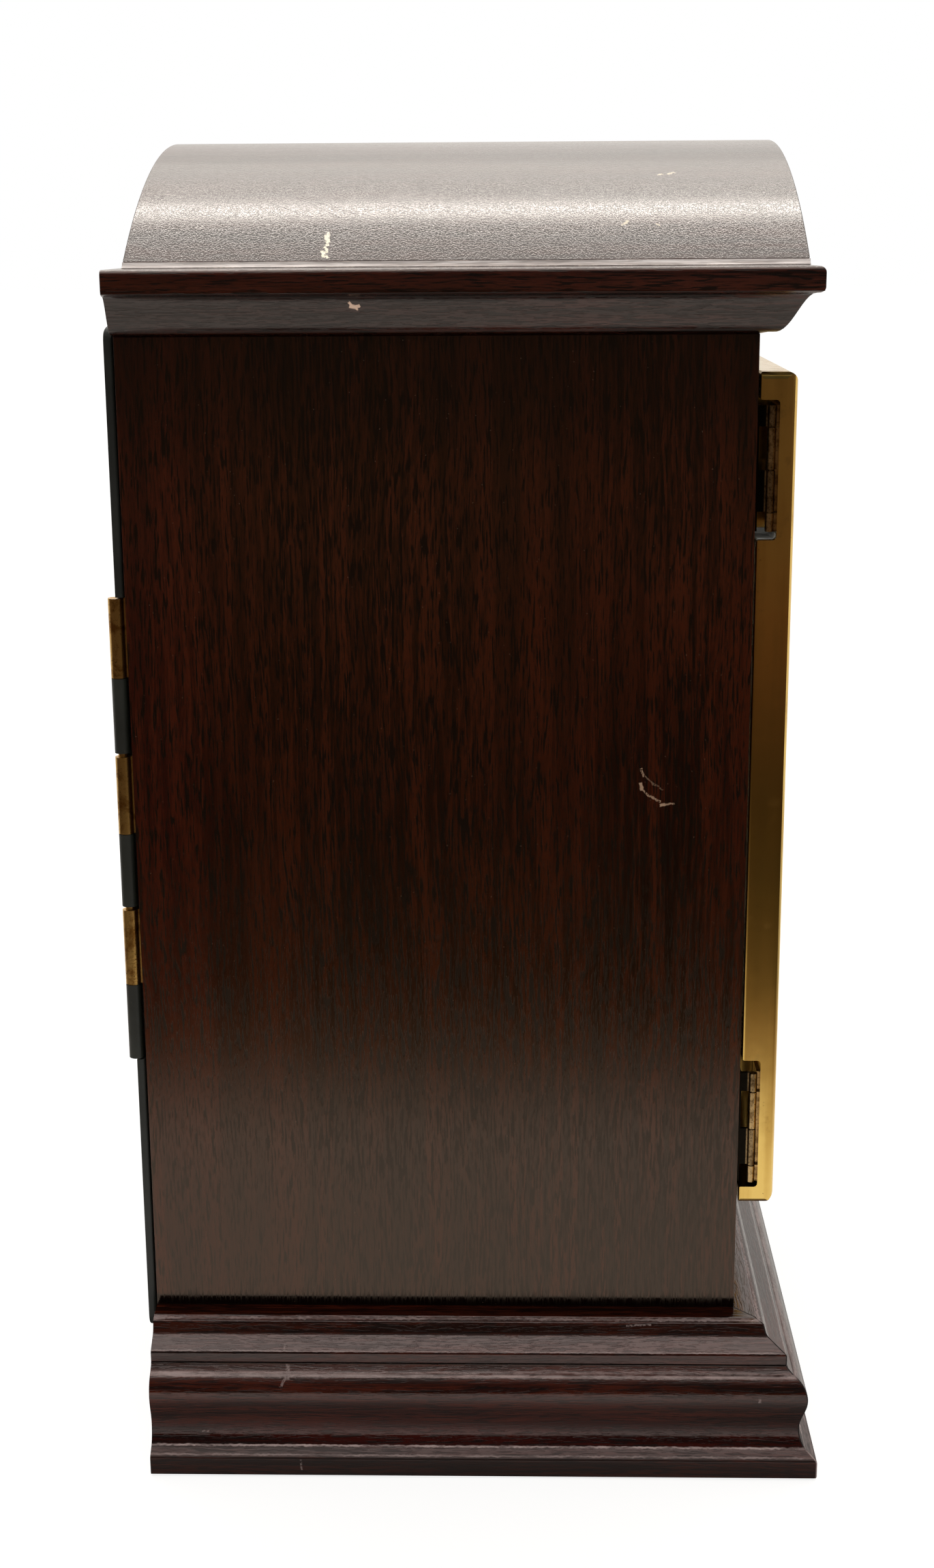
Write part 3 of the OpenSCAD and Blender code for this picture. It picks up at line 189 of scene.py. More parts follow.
    def scratch(self, spots, a, b):
        """1 on short thin lines; spots holds (a0, b0, a1, b1, width) in mm along the coordinates a and b"""
        total = 0.0
        for spot in spots:
            a0, b0, a1, b1, width = [v * MM for v in spot]
            length = math.hypot(a1 - a0, b1 - b0)
            along_a = (a1 - a0) / length
            along_b = (b1 - b0) / length
            da = self.minus(a, a0)
            db = self.minus(b, b0)
            along = self.plus(self.times(da, along_a), self.times(db, along_b))
            across = self.apart(self.times(da, along_b), self.times(db, along_a))
            past_end = self.minus(self.apart(along, length / 2), length / 2)
            line = self.span(self.larger(across, past_end), width * 0.35, width * 0.75, 1, 0)
            total = self.larger(line, total)
        return total


def rgb(r, g, b):
    """A colour as seen on a screen, 0 to 255, in the shader's linear numbers"""
    return tuple((v / 255 / 12.92) if v <= 10 else ((v / 255 + 0.055) / 1.055) ** 2.4 for v in (r, g, b))


# Wood
DARK = rgb(15, 4, 2)
MID = rgb(50, 17, 6)
RED = rgb(50, 15, 5)


def past_corner(g, x, y):
    """How far a point lies outside the case's front plane, and outside its nearer side plane"""
    past_front = g.minus(front_y, y)
    past_side = g.minus(g.size(x), half_w)
    return past_front, past_side


def grain_places(g, along):
    """Two coordinates across the grain and one along it; 'run' follows a mitred moulding"""
    x, y, z = g.xyz()
    if along == "Z":
        return x, y, z
    if along == "Y":
        return x, z, y
    if along == "X":
        return y, z, x
    past_front, past_side = past_corner(g, x, y)
    front = g.math("GREATER_THAN", past_front, past_side)
    side = g.minus(1.0, front)
    run = g.plus(g.times(x, front), g.times(y, side))
    out = g.plus(g.times(y, front), g.times(x, side))
    return out, z, run


def wood(name, along, dark=DARK, mid=MID, red=RED, rough=0.16, pore=0.75, relief=1.0, seed=0.0,
         marks=None, tint=None, shine=0.62, warm=(1.0, 0.78, 0.62)):
    """Polished wood with streaks and open pores; tint colours the wood (on the sides and base mouldings it
    also paints shade), marks lie on its lacquer (on the base mouldings they also paint highlights)
    """
    g = Graph(name)
    a, b, c = grain_places(g, along)
    c = g.plus(c, seed)
    wander = g.centred(g.streaks((a, b, c), (25, 25, 9), 2), 0.006)
    a = g.plus(a, wander)
    b = g.plus(b, wander)

    def grained(across, length, detail, coarse=0.5):
        return g.streaks((a, b, c), (across, across, length), detail, coarse)

    broad = grained(14, 4, 2)
    band = grained(75, 4, 3)
    streak = grained(430, 16, 3, 0.6)
    fibre = grained(1900, 90, 2, 0.6)
    dash = grained(1900, 150, 1.5, 0.55)
    dash_fine = grained(3800, 330, 1)
    dense = g.span(g.plus(broad, g.times(band, 0.6)), 0.60, 0.96, 0.03, -0.03)
    pores = g.larger(g.span(g.plus(dash, dense), 0.52, 0.60), g.times(g.span(dash_fine, 0.56, 0.66), 0.6))
    tone = g.plus(g.times(streak, 0.6), g.times(fibre, 0.4))
    body = g.mix(g.span(tone, 0.42, 0.58), dark, mid)
    flame = g.mix(g.span(band, 0.35, 0.65), dark, red)
    body = g.mix(g.times(g.span(broad, 0.42, 0.66), 0.7), body, flame)
    body = g.mix(g.times(g.span(band, 0.56, 0.42), 0.4), body, dark)
    if tint is not None:
        body = tint(g, body)
    body = g.mix(g.times(pores, pore), body, tuple(v * 0.2 for v in dark))
    roughness = g.plus(g.centred(g.cloud(38, 3), 0.06), g.plus(g.times(pores, 0.14), rough))
    normal = g.bump(g.minus(g.times(fibre, 0.3), pores), 0.000014 * relief)
    normal = g.bump(grained(260, 60, 1), 0.000010 * relief, normal)
    if marks is not None:
        body, roughness, normal = marks(g, body, roughness, normal)
    return g.surface(base_color=body, roughness=roughness, normal=normal, ior=1.5, specular_ior_level=shine,
                     specular_tint=warm)


def worn_edge(name, dark, pale, share, above=0.0, plain=None):
    """Worn arrises, lightened also as a painted highlight; below the height 'above' they keep the plain
    colour
    """
    g = Graph(name)
    patch = g.cloud(130, 4, 0.65)
    fine = g.cloud(1400, 2, 0.6)
    onset = 0.62 - share * 0.24
    worn = g.times(g.span(patch, onset, onset + 0.18), g.span(fine, 0.3, 0.6, 0.35, 1))
    colour = g.mix(worn, dark, pale)
    if plain is not None:
        high = g.span(g.xyz()[2], above - 0.0006, above - 0.0001)
        colour = g.mix(high, plain, colour)
    rough = g.plus(0.28, g.times(worn, 0.25))
    return g.surface(base_color=colour, roughness=rough, normal=g.bump(fine, 0.00003), ior=1.5)


# Scratches and chips, each as two ends and a width in mm: in Y and Z on the side, cornice and base,
# in Y and X on the roof
SIDE_NICKS = [(-49.0, 177.8, -49.2, 176.5, 0.7), (-54.1, 172.5, -54.7, 172.6, 0.6)]
SIDE_SCRATCH = [(-49.2, 176.5, -51.1, 174.9, 0.45), (-51.1, 174.9, -52.3, 174.1, 0.5),
                (-52.3, 174.1, -53.7, 173.4, 0.4), (-49.0, 181.4, -49.7, 179.9, 0.5),
                (-54.1, 172.5, -57.1, 172.9, 0.4)]
SIDE_FAINT = [(-49.7, 179.9, -52.0, 177.8, 0.35), (-52.0, 177.8, -54.3, 176.4, 0.3)]
ROOF_CHIPS = [(25.8, -88.8, 25.7, -93.2, 0.7), (26.1, -90.0, 25.7, -91.8, 1.0),
              (26.4, -94.0, 25.8, -94.8, 0.6), (25.8, -94.9, 26.1, -96.2, 0.7),
              (26.8, -95.6, 26.4, -97.2, 0.6), (25.7, -97.2, 25.4, -97.6, 0.6)]
ROOF_FLECKS = [(-54.0, -59.6, -54.8, -59.0, 0.5), (-56.5, -59.0, -57.8, -58.0, 0.6),
               (-44.0, -86.0, -45.3, -84.7, 0.7), (-52.0, -85.8, -52.6, -86.2, 0.4)]
ROOF_LINES = [(41.0, -69.5, 32.0, -74.8, 0.3), (32.0, -74.8, 23.6, -82.6, 0.35),
              (35.0, -72.2, 27.0, -76.5, 0.25), (27.0, -76.5, 19.0, -81.5, 0.3),
              (40.8, -75.2, 34.0, -80.0, 0.25)]
CORNICE_CHIP = [(19.1, 292.8, 18.4, 292.0, 0.5), (18.6, 292.0, 17.8, 291.8, 0.9),
                (18.0, 291.9, 17.0, 292.1, 0.5)]
BASE_SCUFFS = [(39.8, 26.2, 41.3, 23.7, 0.6), (38.0, 25.9, 41.6, 25.8, 0.8), (39.8, 27.2, 39.7, 25.5, 0.9),
               (61.8, 10.3, 60.4, 10.3, 0.4), (36.4, 4.6, 36.2, 2.0, 0.4), (-80.4, 21.4, -80.3, 20.5, 0.6),
               (40.7, 31.8, 40.6, 31.3, 0.4), (-47.0, 36.1, -53.0, 36.3, 0.4)]


def broken_line(g, spots, a, b):
    """Thin scratches that fade in and out along their length"""
    return g.times(g.scratch(spots, a, b), g.span(g.cloud(2500, 1), 0.33, 0.52))


def side_marks(g, body, roughness, normal):
    """A pale hooked scratch near the front of the left side, and specks of dust"""
    _, y, z = g.xyz()
    wobble = g.centred(g.cloud(900, 2), 0.0007)
    a = g.plus(y, wobble)
    b = g.minus(z, wobble)
    nicks = g.times(g.scratch(SIDE_NICKS, a, b), 0.9)
    thin = g.times(broken_line(g, SIDE_SCRATCH, a, b), 0.75)
    faint = g.times(broken_line(g, SIDE_FAINT, a, b), 0.3)
    dust = g.times(g.span(g.cloud(2600, 0), 0.86, 0.90), 0.25)
    mark = g.larger(g.larger(nicks, thin), g.larger(faint, dust))
    body = g.mix(mark, body, rgb(146, 118, 96))
    return body, g.plus(roughness, g.times(mark, 0.3)), normal


def side_tone_and_shade(g, body):
    """Browner in the middle, redder at the back edge; painted shade darkens it under the cornice, and a
    painted near-black band along the foot stands for the dark reflection of the ledge
    """
    _, y, z = g.xyz()
    drift = g.centred(g.cloud(9, 2), 0.05)
    off_middle = g.size(g.plus(g.minus(y, 0.010), drift))
    middle = g.times(g.span(off_middle, 0.022, 0.066, 1.0, 0.0), 0.6)
    body = g.mix(middle, body, g.mix(0.45, body, rgb(38, 17, 6)))
    back_edge = g.times(g.span(y, back_y - 0.031, back_y - 0.003), 0.4)
    body = g.mix(back_edge, body, g.mix(0.6, body, rgb(56, 12, 8)))
    # Painted shade: the wood is darkened and cooled towards the top, under the cornice
    shade = g.span(z, case_top - 0.040, case_top - 0.008, 0.0, 0.8)
    body = g.mix(shade, body, g.tinted(body, rgb(150, 150, 190)))
    # Painted shade: a near-black band just over the ledge stands for the ledge's dark reflection
    foot = g.span(z, ledge_z + 0.0025, ledge_z + 0.0037, 1.0, 0.0)
    return g.mix(foot, body, rgb(4, 1, 1))


def roof_marks(g, body, _roughness, _normal):
    """Pale chips and dark scratches; the roof has a lacquer of its own, which sparkles in the light"""
    x, y, z = g.xyz()
    wobble = g.centred(g.cloud(1100, 2), 0.0011)
    a = g.plus(y, wobble)
    b = g.plus(x, wobble)
    chips = g.times(g.scratch(ROOF_CHIPS, a, b), g.span(g.cloud(1700, 1), 0.30, 0.42))
    flecks = g.scratch(ROOF_FLECKS, a, b)
    lines = g.scratch(ROOF_LINES, g.plus(y, g.times(wobble, 0.3)), x)
    body = g.mix(g.times(lines, 0.5), body, rgb(14, 7, 5))
    body = g.mix(chips, body, rgb(236, 228, 204))
    body = g.mix(g.times(flecks, 0.8), body, rgb(226, 214, 190))
    satin = g.plus(0.115, g.times(g.cloud(60, 4, 0.6), 0.06))
    roughness = g.plus(satin, g.times(g.larger(chips, flecks), 0.35))
    normal = g.bump(g.streaks((x, y, z), (700, 60, 700), 3, 0.6), 0.000006)
    normal = g.bump(g.minus(0.0, lines), 0.00002, normal)
    sparkle = g.span(g.cloud(1900, 1, 0.6), 0.40, 0.62)
    return body, roughness, g.bump(sparkle, 0.000026, normal)


def cornice_marks(g, body, roughness, normal):
    """One small chip on the left side"""
    x, y, z = g.xyz()
    wobble = g.centred(g.cloud(1100, 2), 0.0006)
    chip = g.scratch(CORNICE_CHIP, g.plus(y, wobble), g.plus(z, wobble))
    body = g.mix(g.times(chip, g.math("LESS_THAN", x, 0.0)), body, rgb(200, 170, 150))
    return body, g.plus(roughness, g.times(chip, 0.3)), normal


def mitre_joint(g, x, y):
    """1 on the fine joint line where the side and front mouldings meet"""
    past_front, past_side = past_corner(g, x, y)
    return g.span(g.apart(past_front, past_side), 0.00015, 0.00042, 1.0, 0.0)


def over_block(g, z, below=0.0, above=1.0):
    """One value on the plinth block and another on the mouldings over it"""
    return g.span(z, block_top - 0.0010, block_top + 0.0010, below, above)


def groove_shade_and_joints(g, body):
    """Painted shade, dark red, in the hollow of the lower moulding, and dark joints"""
    x, y, z = g.xyz()
    # Painted shade: darker and redder in the hollow of the lower moulding
    hollow = g.span(g.apart(z, groove_z), 0.0018, 0.0042, 0.8, 0.0)
    body = g.mix(hollow, body, g.tinted(body, rgb(196, 100, 90)))
    mitre = g.times(mitre_joint(g, x, y), over_block(g, z))
    level = g.span(g.apart(z, base_joint), 0.0001, 0.0003, 1, 0)
    return g.mix(g.larger(mitre, level), body, rgb(5, 3, 2))


def base_marks(g, body, roughness, normal):
    """Pale arris lines along the mouldings, partly wear and partly painted highlight, scuffs on the left
    side, and a duller plinth block
    """
    x, y, z = g.xyz()
    wobble = g.centred(g.cloud(700, 3), 0.0005)
    # Pale lines on these arrises are partly wear and partly painted highlight
    # Each as height, half width and strength
    arris_wear_and_highlights = [(ledge_z - 0.0005, 0.00020, 0.4), (ledge_z - 0.0065, 0.00018, 0.3),
                  (base_joint - 0.0021, 0.00055, 0.4), (block_top + 0.00022, 0.00028, 0.8),
                  (block_top - 0.0013, 0.00022, 0.4)]
    worn = 0.0
    for height, width, strength in arris_wear_and_highlights:
        off = g.apart(g.plus(z, wobble), height)
        worn = g.larger(g.span(off, width * 0.3, width, strength, 0), worn)
    run = g.streaks((x, y, z), (120, 120, 900), 4, 0.7)
    worn = g.times(worn, g.span(run, 0.36, 0.60, 0.25, 1.0))
    scuffs = g.scratch(BASE_SCUFFS, g.plus(y, wobble), g.minus(z, wobble))
    scuffs = g.times(scuffs, g.span(g.cloud(1500, 2), 0.34, 0.58))
    scuffs = g.times(g.times(scuffs, g.math("LESS_THAN", x, 0.0)), 0.30)
    mitre = mitre_joint(g, x, y)
    corner = g.times(g.times(mitre, over_block(g, z, 1, 0)), 0.5)
    mark = g.larger(g.larger(worn, corner), scuffs)
    # Pale colour for the worn and highlit arrises, the plinth corner and the scuffs
    body = g.mix(mark, body, rgb(172, 152, 148))
    joint = g.times(mitre, over_block(g, z))
    roughness = g.plus(roughness, g.plus(g.times(mark, 0.25), g.times(joint, 0.6)))
    return body, g.plus(roughness, over_block(g, z, 0.22, 0.0)), normal


side_wood = wood("lacquered_side", "Z", rough=0.11, pore=0.95, marks=side_marks, tint=side_tone_and_shade, shine=0.68)
right_wood = wood("lacquered_right_side", "Z", rough=0.11, pore=0.95, seed=3.7, tint=side_tone_and_shade, shine=0.68)
front_wood = wood("lacquered_front", "Z", rough=0.14, seed=1.9)
end_wood = wood("lacquered_roof_ends", "X", rough=0.18, seed=2.3)
roof_wood = wood("lacquered_roof", "Y", rgb(24, 9, 6), rgb(52, 26, 19), rgb(56, 24, 16), pore=0.5, seed=0.7,
                 marks=roof_marks, warm=(1.0, 0.95, 0.90))
moulding_wood = wood("lacquered_moulding", "run", rgb(20, 6, 3), rgb(56, 20, 9), rgb(66, 16, 7), rough=0.08,
                     pore=0.7, relief=0.9, seed=0.4, marks=base_marks, tint=groove_shade_and_joints, shine=0.66,
                     warm=(1.0, 0.84, 0.82))
cornice_wood = wood("lacquered_cornice", "run", rgb(12, 4, 3), rgb(50, 20, 13), rough=0.13, pore=0.85,
                    seed=1.1, marks=cornice_marks, shine=0.6, warm=(1.0, 0.88, 0.82))
# Painted sheen: the roof base board is pale all over, partly dust and partly the light's sheen on its ledge
roof_base_wood = wood("dust_and_sheen_roof_base", "Y", rgb(168, 160, 157), rgb(236, 229, 226), rgb(220, 212, 208),
                      rough=0.35, pore=0.25, seed=1.5)
plain_wood = wood("plain_inner_wood", "X", rgb(120, 84, 58), rgb(158, 116, 82), rgb(140, 92, 62),
                  rough=0.55, pore=0.6, relief=2.0, seed=0.2)
plain_wood_side = wood("plain_inner_wood_y", "Y", rgb(112, 78, 54), rgb(150, 108, 76), rgb(134, 88, 60),
                       rough=0.55, pore=0.6, relief=2.0, seed=0.9)
# Pale arrises on the roof base board and cornice: partly wear, partly painted highlight
edge_wood = worn_edge("worn_highlit_wood_edge", rgb(84, 60, 50), rgb(226, 206, 192), 0.75)
cornice_edge = worn_edge("worn_highlit_cornice_edge", rgb(120, 98, 88), rgb(236, 220, 208), 0.85, cornice_top,
                         rgb(24, 10, 7))


# Metals, paint, glass
def painted_notch_highlight(g, x, y, z):
    """1 on a near-white painted highlight at the inner ends of the two hinge notches of the door frame, where
    light catches their floors
    """
    in_notch = g.times(g.math("LESS_THAN", g.apart(x, door_lo.x + 0.0084), 0.0063),
                       g.math("GREATER_THAN", y, door_hi.y - 0.0072))
    upper = g.span(g.apart(z, door_hi.z - 0.0386), 0.0006, 0.0009, 1, 0)
    lower = g.times(g.span(g.apart(z, door_lo.z + 0.0382), 0.0007, 0.0010, 0.7, 0),
                    g.math("GREATER_THAN", y, door_hi.y - 0.0041))
    return g.times(in_notch, g.larger(upper, lower))


def polished_brass():
    """Brass with soft patina, brown blotches and dark freckles, and a painted highlight in the hinge notches
    """
    g = Graph("polished_brass")
    x, y, z = g.xyz()
    drift = g.streaks((x, y, z), (260, 260, 14), 3)
    haze = g.plus(g.times(g.cloud(38, 4, 0.6), 0.5), g.times(drift, 0.5))
    patina = g.times(g.span(haze, 0.42, 0.62), 0.7)
    colour = g.mix(patina, rgb(226, 192, 110), rgb(198, 158, 78))
    blotch = g.times(g.span(g.cloud(130, 4, 0.65), 0.60, 0.74), 0.3)
    colour = g.mix(blotch, colour, rgb(156, 112, 54))
    freckles = g.times(g.span(g.cloud(1300, 1), 0.74, 0.80), 0.45)
    colour = g.mix(freckles, colour, rgb(84, 58, 26))
    rough = g.plus(0.13, g.plus(g.times(patina, 0.10), g.times(blotch, 0.3)))
    normal = g.bump(g.streaks((x, y, z), (4000, 4000, 60), 1), 0.0000025)
    normal = g.bump(g.cloud(110, 2), 0.00003, normal)
    notch_highlight = painted_notch_highlight(g, x, y, z)
    # Painted highlight: near-white and not metal in the hinge notches
    colour = g.mix(notch_highlight, colour, rgb(250, 250, 244))
    rough = g.plus(rough, g.times(notch_highlight, 0.3))
    return g.surface(base_color=colour, metallic=g.minus(1.0, notch_highlight), roughness=rough, normal=normal)


def aged_metal(name, light, deep, spot, rough, share, scale=1.0):
    """Metal clouded with tarnish and dirt"""
    g = Graph(name)
    cloud = g.cloud(220 * scale, 5, 0.65, 0.5)
    grains = g.cloud(2200 * scale, 2, 0.6)
    onset = 0.60 - share * 0.2
    colour = g.mix(g.span(cloud, onset, onset + 0.18), light, deep)
    dirt = g.times(g.span(grains, 0.60, 0.70), g.span(cloud, 0.35, 0.6, 0.2, 1))
    colour = g.mix(g.times(dirt, 0.8), colour, spot)
    roughness = g.plus(rough, g.times(dirt, 0.3))
    return g.surface(base_color=colour, metallic=1.0, roughness=roughness, normal=g.bump(grains, 0.00003))


def hinge_brass(name, light, deep, barrel_back):
    """Worn brass on the hinge barrels; the leaves behind them are painted near-black as shade"""
    g = Graph(name)
    cloud = g.cloud(420, 4, 0.65, 0.4)
    grains = g.cloud(2600, 2, 0.6)
    # Painted shade: the leaves behind the barrels are near-black
    leaf = g.span(g.xyz()[1], barrel_back, barrel_back + 0.0003)
    metal = g.mix(g.span(cloud, 0.42, 0.66), light, deep)
    metal = g.mix(g.times(g.span(grains, 0.56, 0.66), 0.7), metal, rgb(22, 16, 10))
    colour = g.mix(leaf, metal, g.mix(cloud, rgb(12, 11, 9), rgb(34, 30, 24)))
    rough = g.plus(0.30, g.times(leaf, 0.1))
    return g.surface(base_color=colour, metallic=1.0, roughness=rough, normal=g.bump(grains, 0.00003))


def turned_metal(name, light, deep, rough, centre_z=0.0):
    """Metal with fine tool marks round an axis along Y, and a little tarnish"""
    g = Graph(name)
    x, y, z = g.xyz()
    radius = g.length(x, g.minus(z, centre_z))
    rings = g.noise(g.vector(g.times(radius, 9000), 0.0, g.times(y, 3000)), 1, 1)
    colour = g.mix(g.span(g.cloud(90, 4, 0.6), 0.40, 0.68), light, deep)
    roughness = g.plus(rough, g.times(rings, 0.12))
    return g.surface(base_color=colour, metallic=1.0, roughness=roughness, normal=g.bump(rings, 0.000005))


def painted(name, colour, worn, rough, chips):
    """Hand-brushed paint with small worn spots"""
    g = Graph(name)
    cloud = g.cloud(55, 4, 0.6)
    fine = g.cloud(1700, 3, 0.6)
    base = g.mix(g.span(cloud, 0.35, 0.7), colour, tuple(v * 1.6 for v in colour))
    base = g.mix(g.times(g.span(fine, 0.66, 0.74), chips), base, worn)
    normal = g.bump(g.cloud(350, 2), 0.00006, g.bump(fine, 0.00002))
    return g.surface(base_color=base, roughness=g.plus(rough, g.times(cloud, 0.12)), normal=normal, ior=1.48)


def silvered():
    """Silvered brass of the chapter ring, brushed in circles"""
    g = Graph("silvered_ring")
    x, _, z = g.xyz()
    radius = g.length(x, g.minus(z, dial_centre.z))
    rings = g.noise(g.vector(g.times(radius, 7000), 0.0, 0.0), 1, 1)
    colour = g.mix(g.span(g.cloud(70, 5, 0.62), 0.45, 0.75), rgb(214, 211, 200), rgb(176, 166, 142))
    roughness = g.plus(0.36, g.times(rings, 0.1))
    return g.surface(base_color=colour, metallic=0.55, roughness=roughness, normal=g.bump(rings, 0.000006))


def matted_brass():
    """Grained brass of the dial plate"""
    g = Graph("matted_brass")
    grains = g.cloud(2600, 2, 0.5)
    colour = g.mix(g.span(g.cloud(60, 4, 0.6), 0.4, 0.7), rgb(206, 164, 88), rgb(168, 124, 62))
    colour = g.mix(g.span(grains, 0.55, 0.4, 0, 0.5), colour, rgb(110, 78, 36))
    roughness = g.plus(0.38, g.times(grains, 0.2))
    return g.surface(base_color=colour, metallic=1.0, roughness=roughness, normal=g.bump(grains, 0.00008))


def window_glass():
    """Old clear glass, slightly wavy, with specks of dust"""
    g = Graph("door_glass")
    dust = g.span(g.cloud(1500, 2), 0.70, 0.80)
    return g.surface(base_color=rgb(246, 250, 249), roughness=g.times(dust, 0.2), transmission_weight=1.0,
                     ior=1.45, normal=g.bump(g.cloud(25, 2), 0.00005))


brass_polished = polished_brass()
brass_old = aged_metal("aged_hinge_brass", rgb(196, 158, 92), rgb(146, 104, 50), rgb(44, 30, 14), 0.3, 0.6)
barrel_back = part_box("front_hinge_pins")[1].y + 0.0006
# The darker copy is painted shade on the case leaves and pins
brass_hinge_front = hinge_brass("aged_front_hinge_shaded_leaves", rgb(196, 166, 118), rgb(122, 96, 62), barrel_back)
brass_hinge_shaded = hinge_brass("shaded_front_hinge", rgb(156, 132, 96), rgb(86, 66, 42), barrel_back)
brass_plate = turned_metal("movement_brass", rgb(214, 172, 94), rgb(184, 138, 70), 0.2, dial_centre.z)
steel = turned_metal("turned_steel", rgb(176, 178, 182), rgb(132, 132, 136), 0.22, dial_centre.z)
spring_steel = turned_metal("spring_steel", rgb(110, 116, 130), rgb(70, 74, 86), 0.25)
blued = aged_metal("blued_steel", rgb(30, 36, 84), rgb(18, 20, 44), rgb(10, 10, 18), 0.25, 0.5, 0.6)
silver = silvered()
matted = matted_brass()
black = painted("door_paint", rgb(23, 25, 22), rgb(70, 66, 54), 0.42, 0.25)
black_hinge = painted("hinge_paint", rgb(26, 28, 23), rgb(120, 92, 52), 0.38, 0.4)
iron = painted("cast_iron", rgb(44, 44, 46), rgb(70, 60, 54), 0.55, 0.4)
wax = painted("numeral_wax", rgb(14, 13, 14), rgb(50, 46, 44), 0.4, 0.2)
glass = window_glass()

# The wheels, plates and barrels that aren't named here are of movement brass
finish_of = {
    "base_plinth": moulding_wood, "base_upper_moulding": moulding_wood, "base_panel": plain_wood_side,
    "bottom_board": plain_wood, "left_side_panel": side_wood, "right_side_panel": right_wood,
    "front_frame": front_wood, "top_board": front_wood, "cornice_moulding": cornice_wood,
    "roof_base_board": roof_base_wood, "roof_shell": roof_wood, "roof_end_panels": end_wood,
    "seat_board": plain_wood, "front_door_frame": brass_polished, "front_door_glass": glass,
    "glass_retainer": brass_old, "front_hinge_case_leaves": brass_hinge_shaded,
    "front_hinge_door_leaves": brass_hinge_front, "front_hinge_pins": brass_hinge_shaded,
    "front_door_knob": brass_polished, "dial_plate": matted, "chapter_ring": silver,
    "corner_spandrels": brass_old, "minute_hand": blued, "hour_hand": blued,
    "back_door_panel": black, "back_hinge_case_leaf": brass_old, "back_hinge_door_leaf": black_hinge,
    "back_hinge_pin": brass_old, "back_door_knob": brass_old, "going_mainspring": spring_steel,
    "strike_mainspring": spring_steel, "going_winding_arbor": steel, "strike_winding_arbor": steel,
    "going_click": steel, "strike_click": steel, "cannon_pinion": steel, "anchor": steel, "hammer": steel,
    "gong_block": iron, "gong_rods": brass_old,
}
for name, piece in nodes.items():
    piece.data.materials.clear()
    piece.data.materials.append(finish_of.get(name, brass_plate))
    for face in piece.data.polygons:
        face.material_index = 0


# Softly worn arrises on the wooden pieces
def soften(name, width, edge=None):
    """Rounds the sharp edges of a piece, and gives them a material of their own if one is named"""
    piece = nodes[name]
    if edge is not None:
        piece.data.materials.append(edge)
    weld = piece.modifiers.new("weld", "WELD")
    weld.merge_threshold = 0.00001
    bevel = piece.modifiers.new("arris", "BEVEL")
    bevel.width = width
    bevel.segments = 2
    bevel.limit_method = "ANGLE"
    bevel.angle_limit = math.radians(35)
    bevel.use_clamp_overlap = True
    bevel.harden_normals = False
    bevel.material = 1 if edge is not None else -1
    smooth = piece.modifiers.new("shading", "WEIGHTED_NORMAL")
    smooth.keep_sharp = False
    smooth.weight = 80


for name in ("left_side_panel", "right_side_panel"):
    soften(name, 0.00025)
for name in ("base_plinth", "base_upper_moulding"):
    soften(name, 0.0004)
soften("roof_base_board", 0.0003, edge_wood)
soften("roof_shell", 0.0003)
soften("cornice_moulding", 0.0004, cornice_edge)
for name in ("roof_end_panels", "front_frame", "back_door_panel"):
    soften(name, 0.0003)


# Pieces that only the scene has
def new_mesh(name, verts, faces, material):
    mesh = bpy.data.meshes.new(name)
    mesh.from_pydata(verts, [], faces)
    mesh.update()
    made = bpy.data.objects.new(name, mesh)
    bpy.context.scene.collection.objects.link(made)
    made.data.materials.append(material)
    return made


def flat_mesh(name, polygons, y, depth, material, body):
    """Polygons in X and Z, as one thin raised mesh whose front stands at y"""
    verts, faces = [], []
    for shape in polygons:
        n = len(shape)
        start = len(verts)
        verts += [(px, y, pz) for px, pz in shape] + [(px, y + depth, pz) for px, pz in shape]
        faces.append(tuple(range(start, start + n)))
        faces.append(tuple(range(start + 2 * n - 1, start + n - 1, -1)))
        for i in range(n):
            j = (i + 1) % n
            faces.append((start + i, start + n + i, start + n + j, start + j))
    made = new_mesh(name, verts, faces, material)
    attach(made, body)


def lathe(name, profile, place, material, body, steps=48):
    """Turns a profile of (radius, height) in mm round an axis along Y through place"""
    verts, faces = [], []
    for i in range(steps):
        a = 2 * math.pi * i / steps
        for r, h in profile:
            verts.append((place.x + r * math.sin(a) * MM, place.y + h * MM, place.z + r * math.cos(a) * MM))
    n = len(profile)
    for i in range(steps):
        j = (i + 1) % steps
        for k in range(n - 1):
            faces.append((i * n + k, j * n + k, j * n + k + 1, i * n + k + 1))
    made = new_mesh(name, verts, faces, material)
    for face in made.data.polygons:
        face.use_smooth = True
    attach(made, body)


# Numerals and minute marks on the chapter ring, in mm
ring_r = (dial_hi.x - dial_lo.x) / 2 / MM
ring_face = dial_lo.y - 0.00003
wax_depth = 0.00008
numeral_h = 13.5
numeral_foot = ring_r - 21.5
serif = numeral_h * 0.035
tick_foot = ring_r - 4.6
tick_h = 2.6
band_w = 0.22


def bar_shape(x0, x1, low, high):
    """An upright bar or a serif, from x0 to x1 and from low to high"""
    return [(x0, low), (x1, low), (x1, high), (x0, high)]


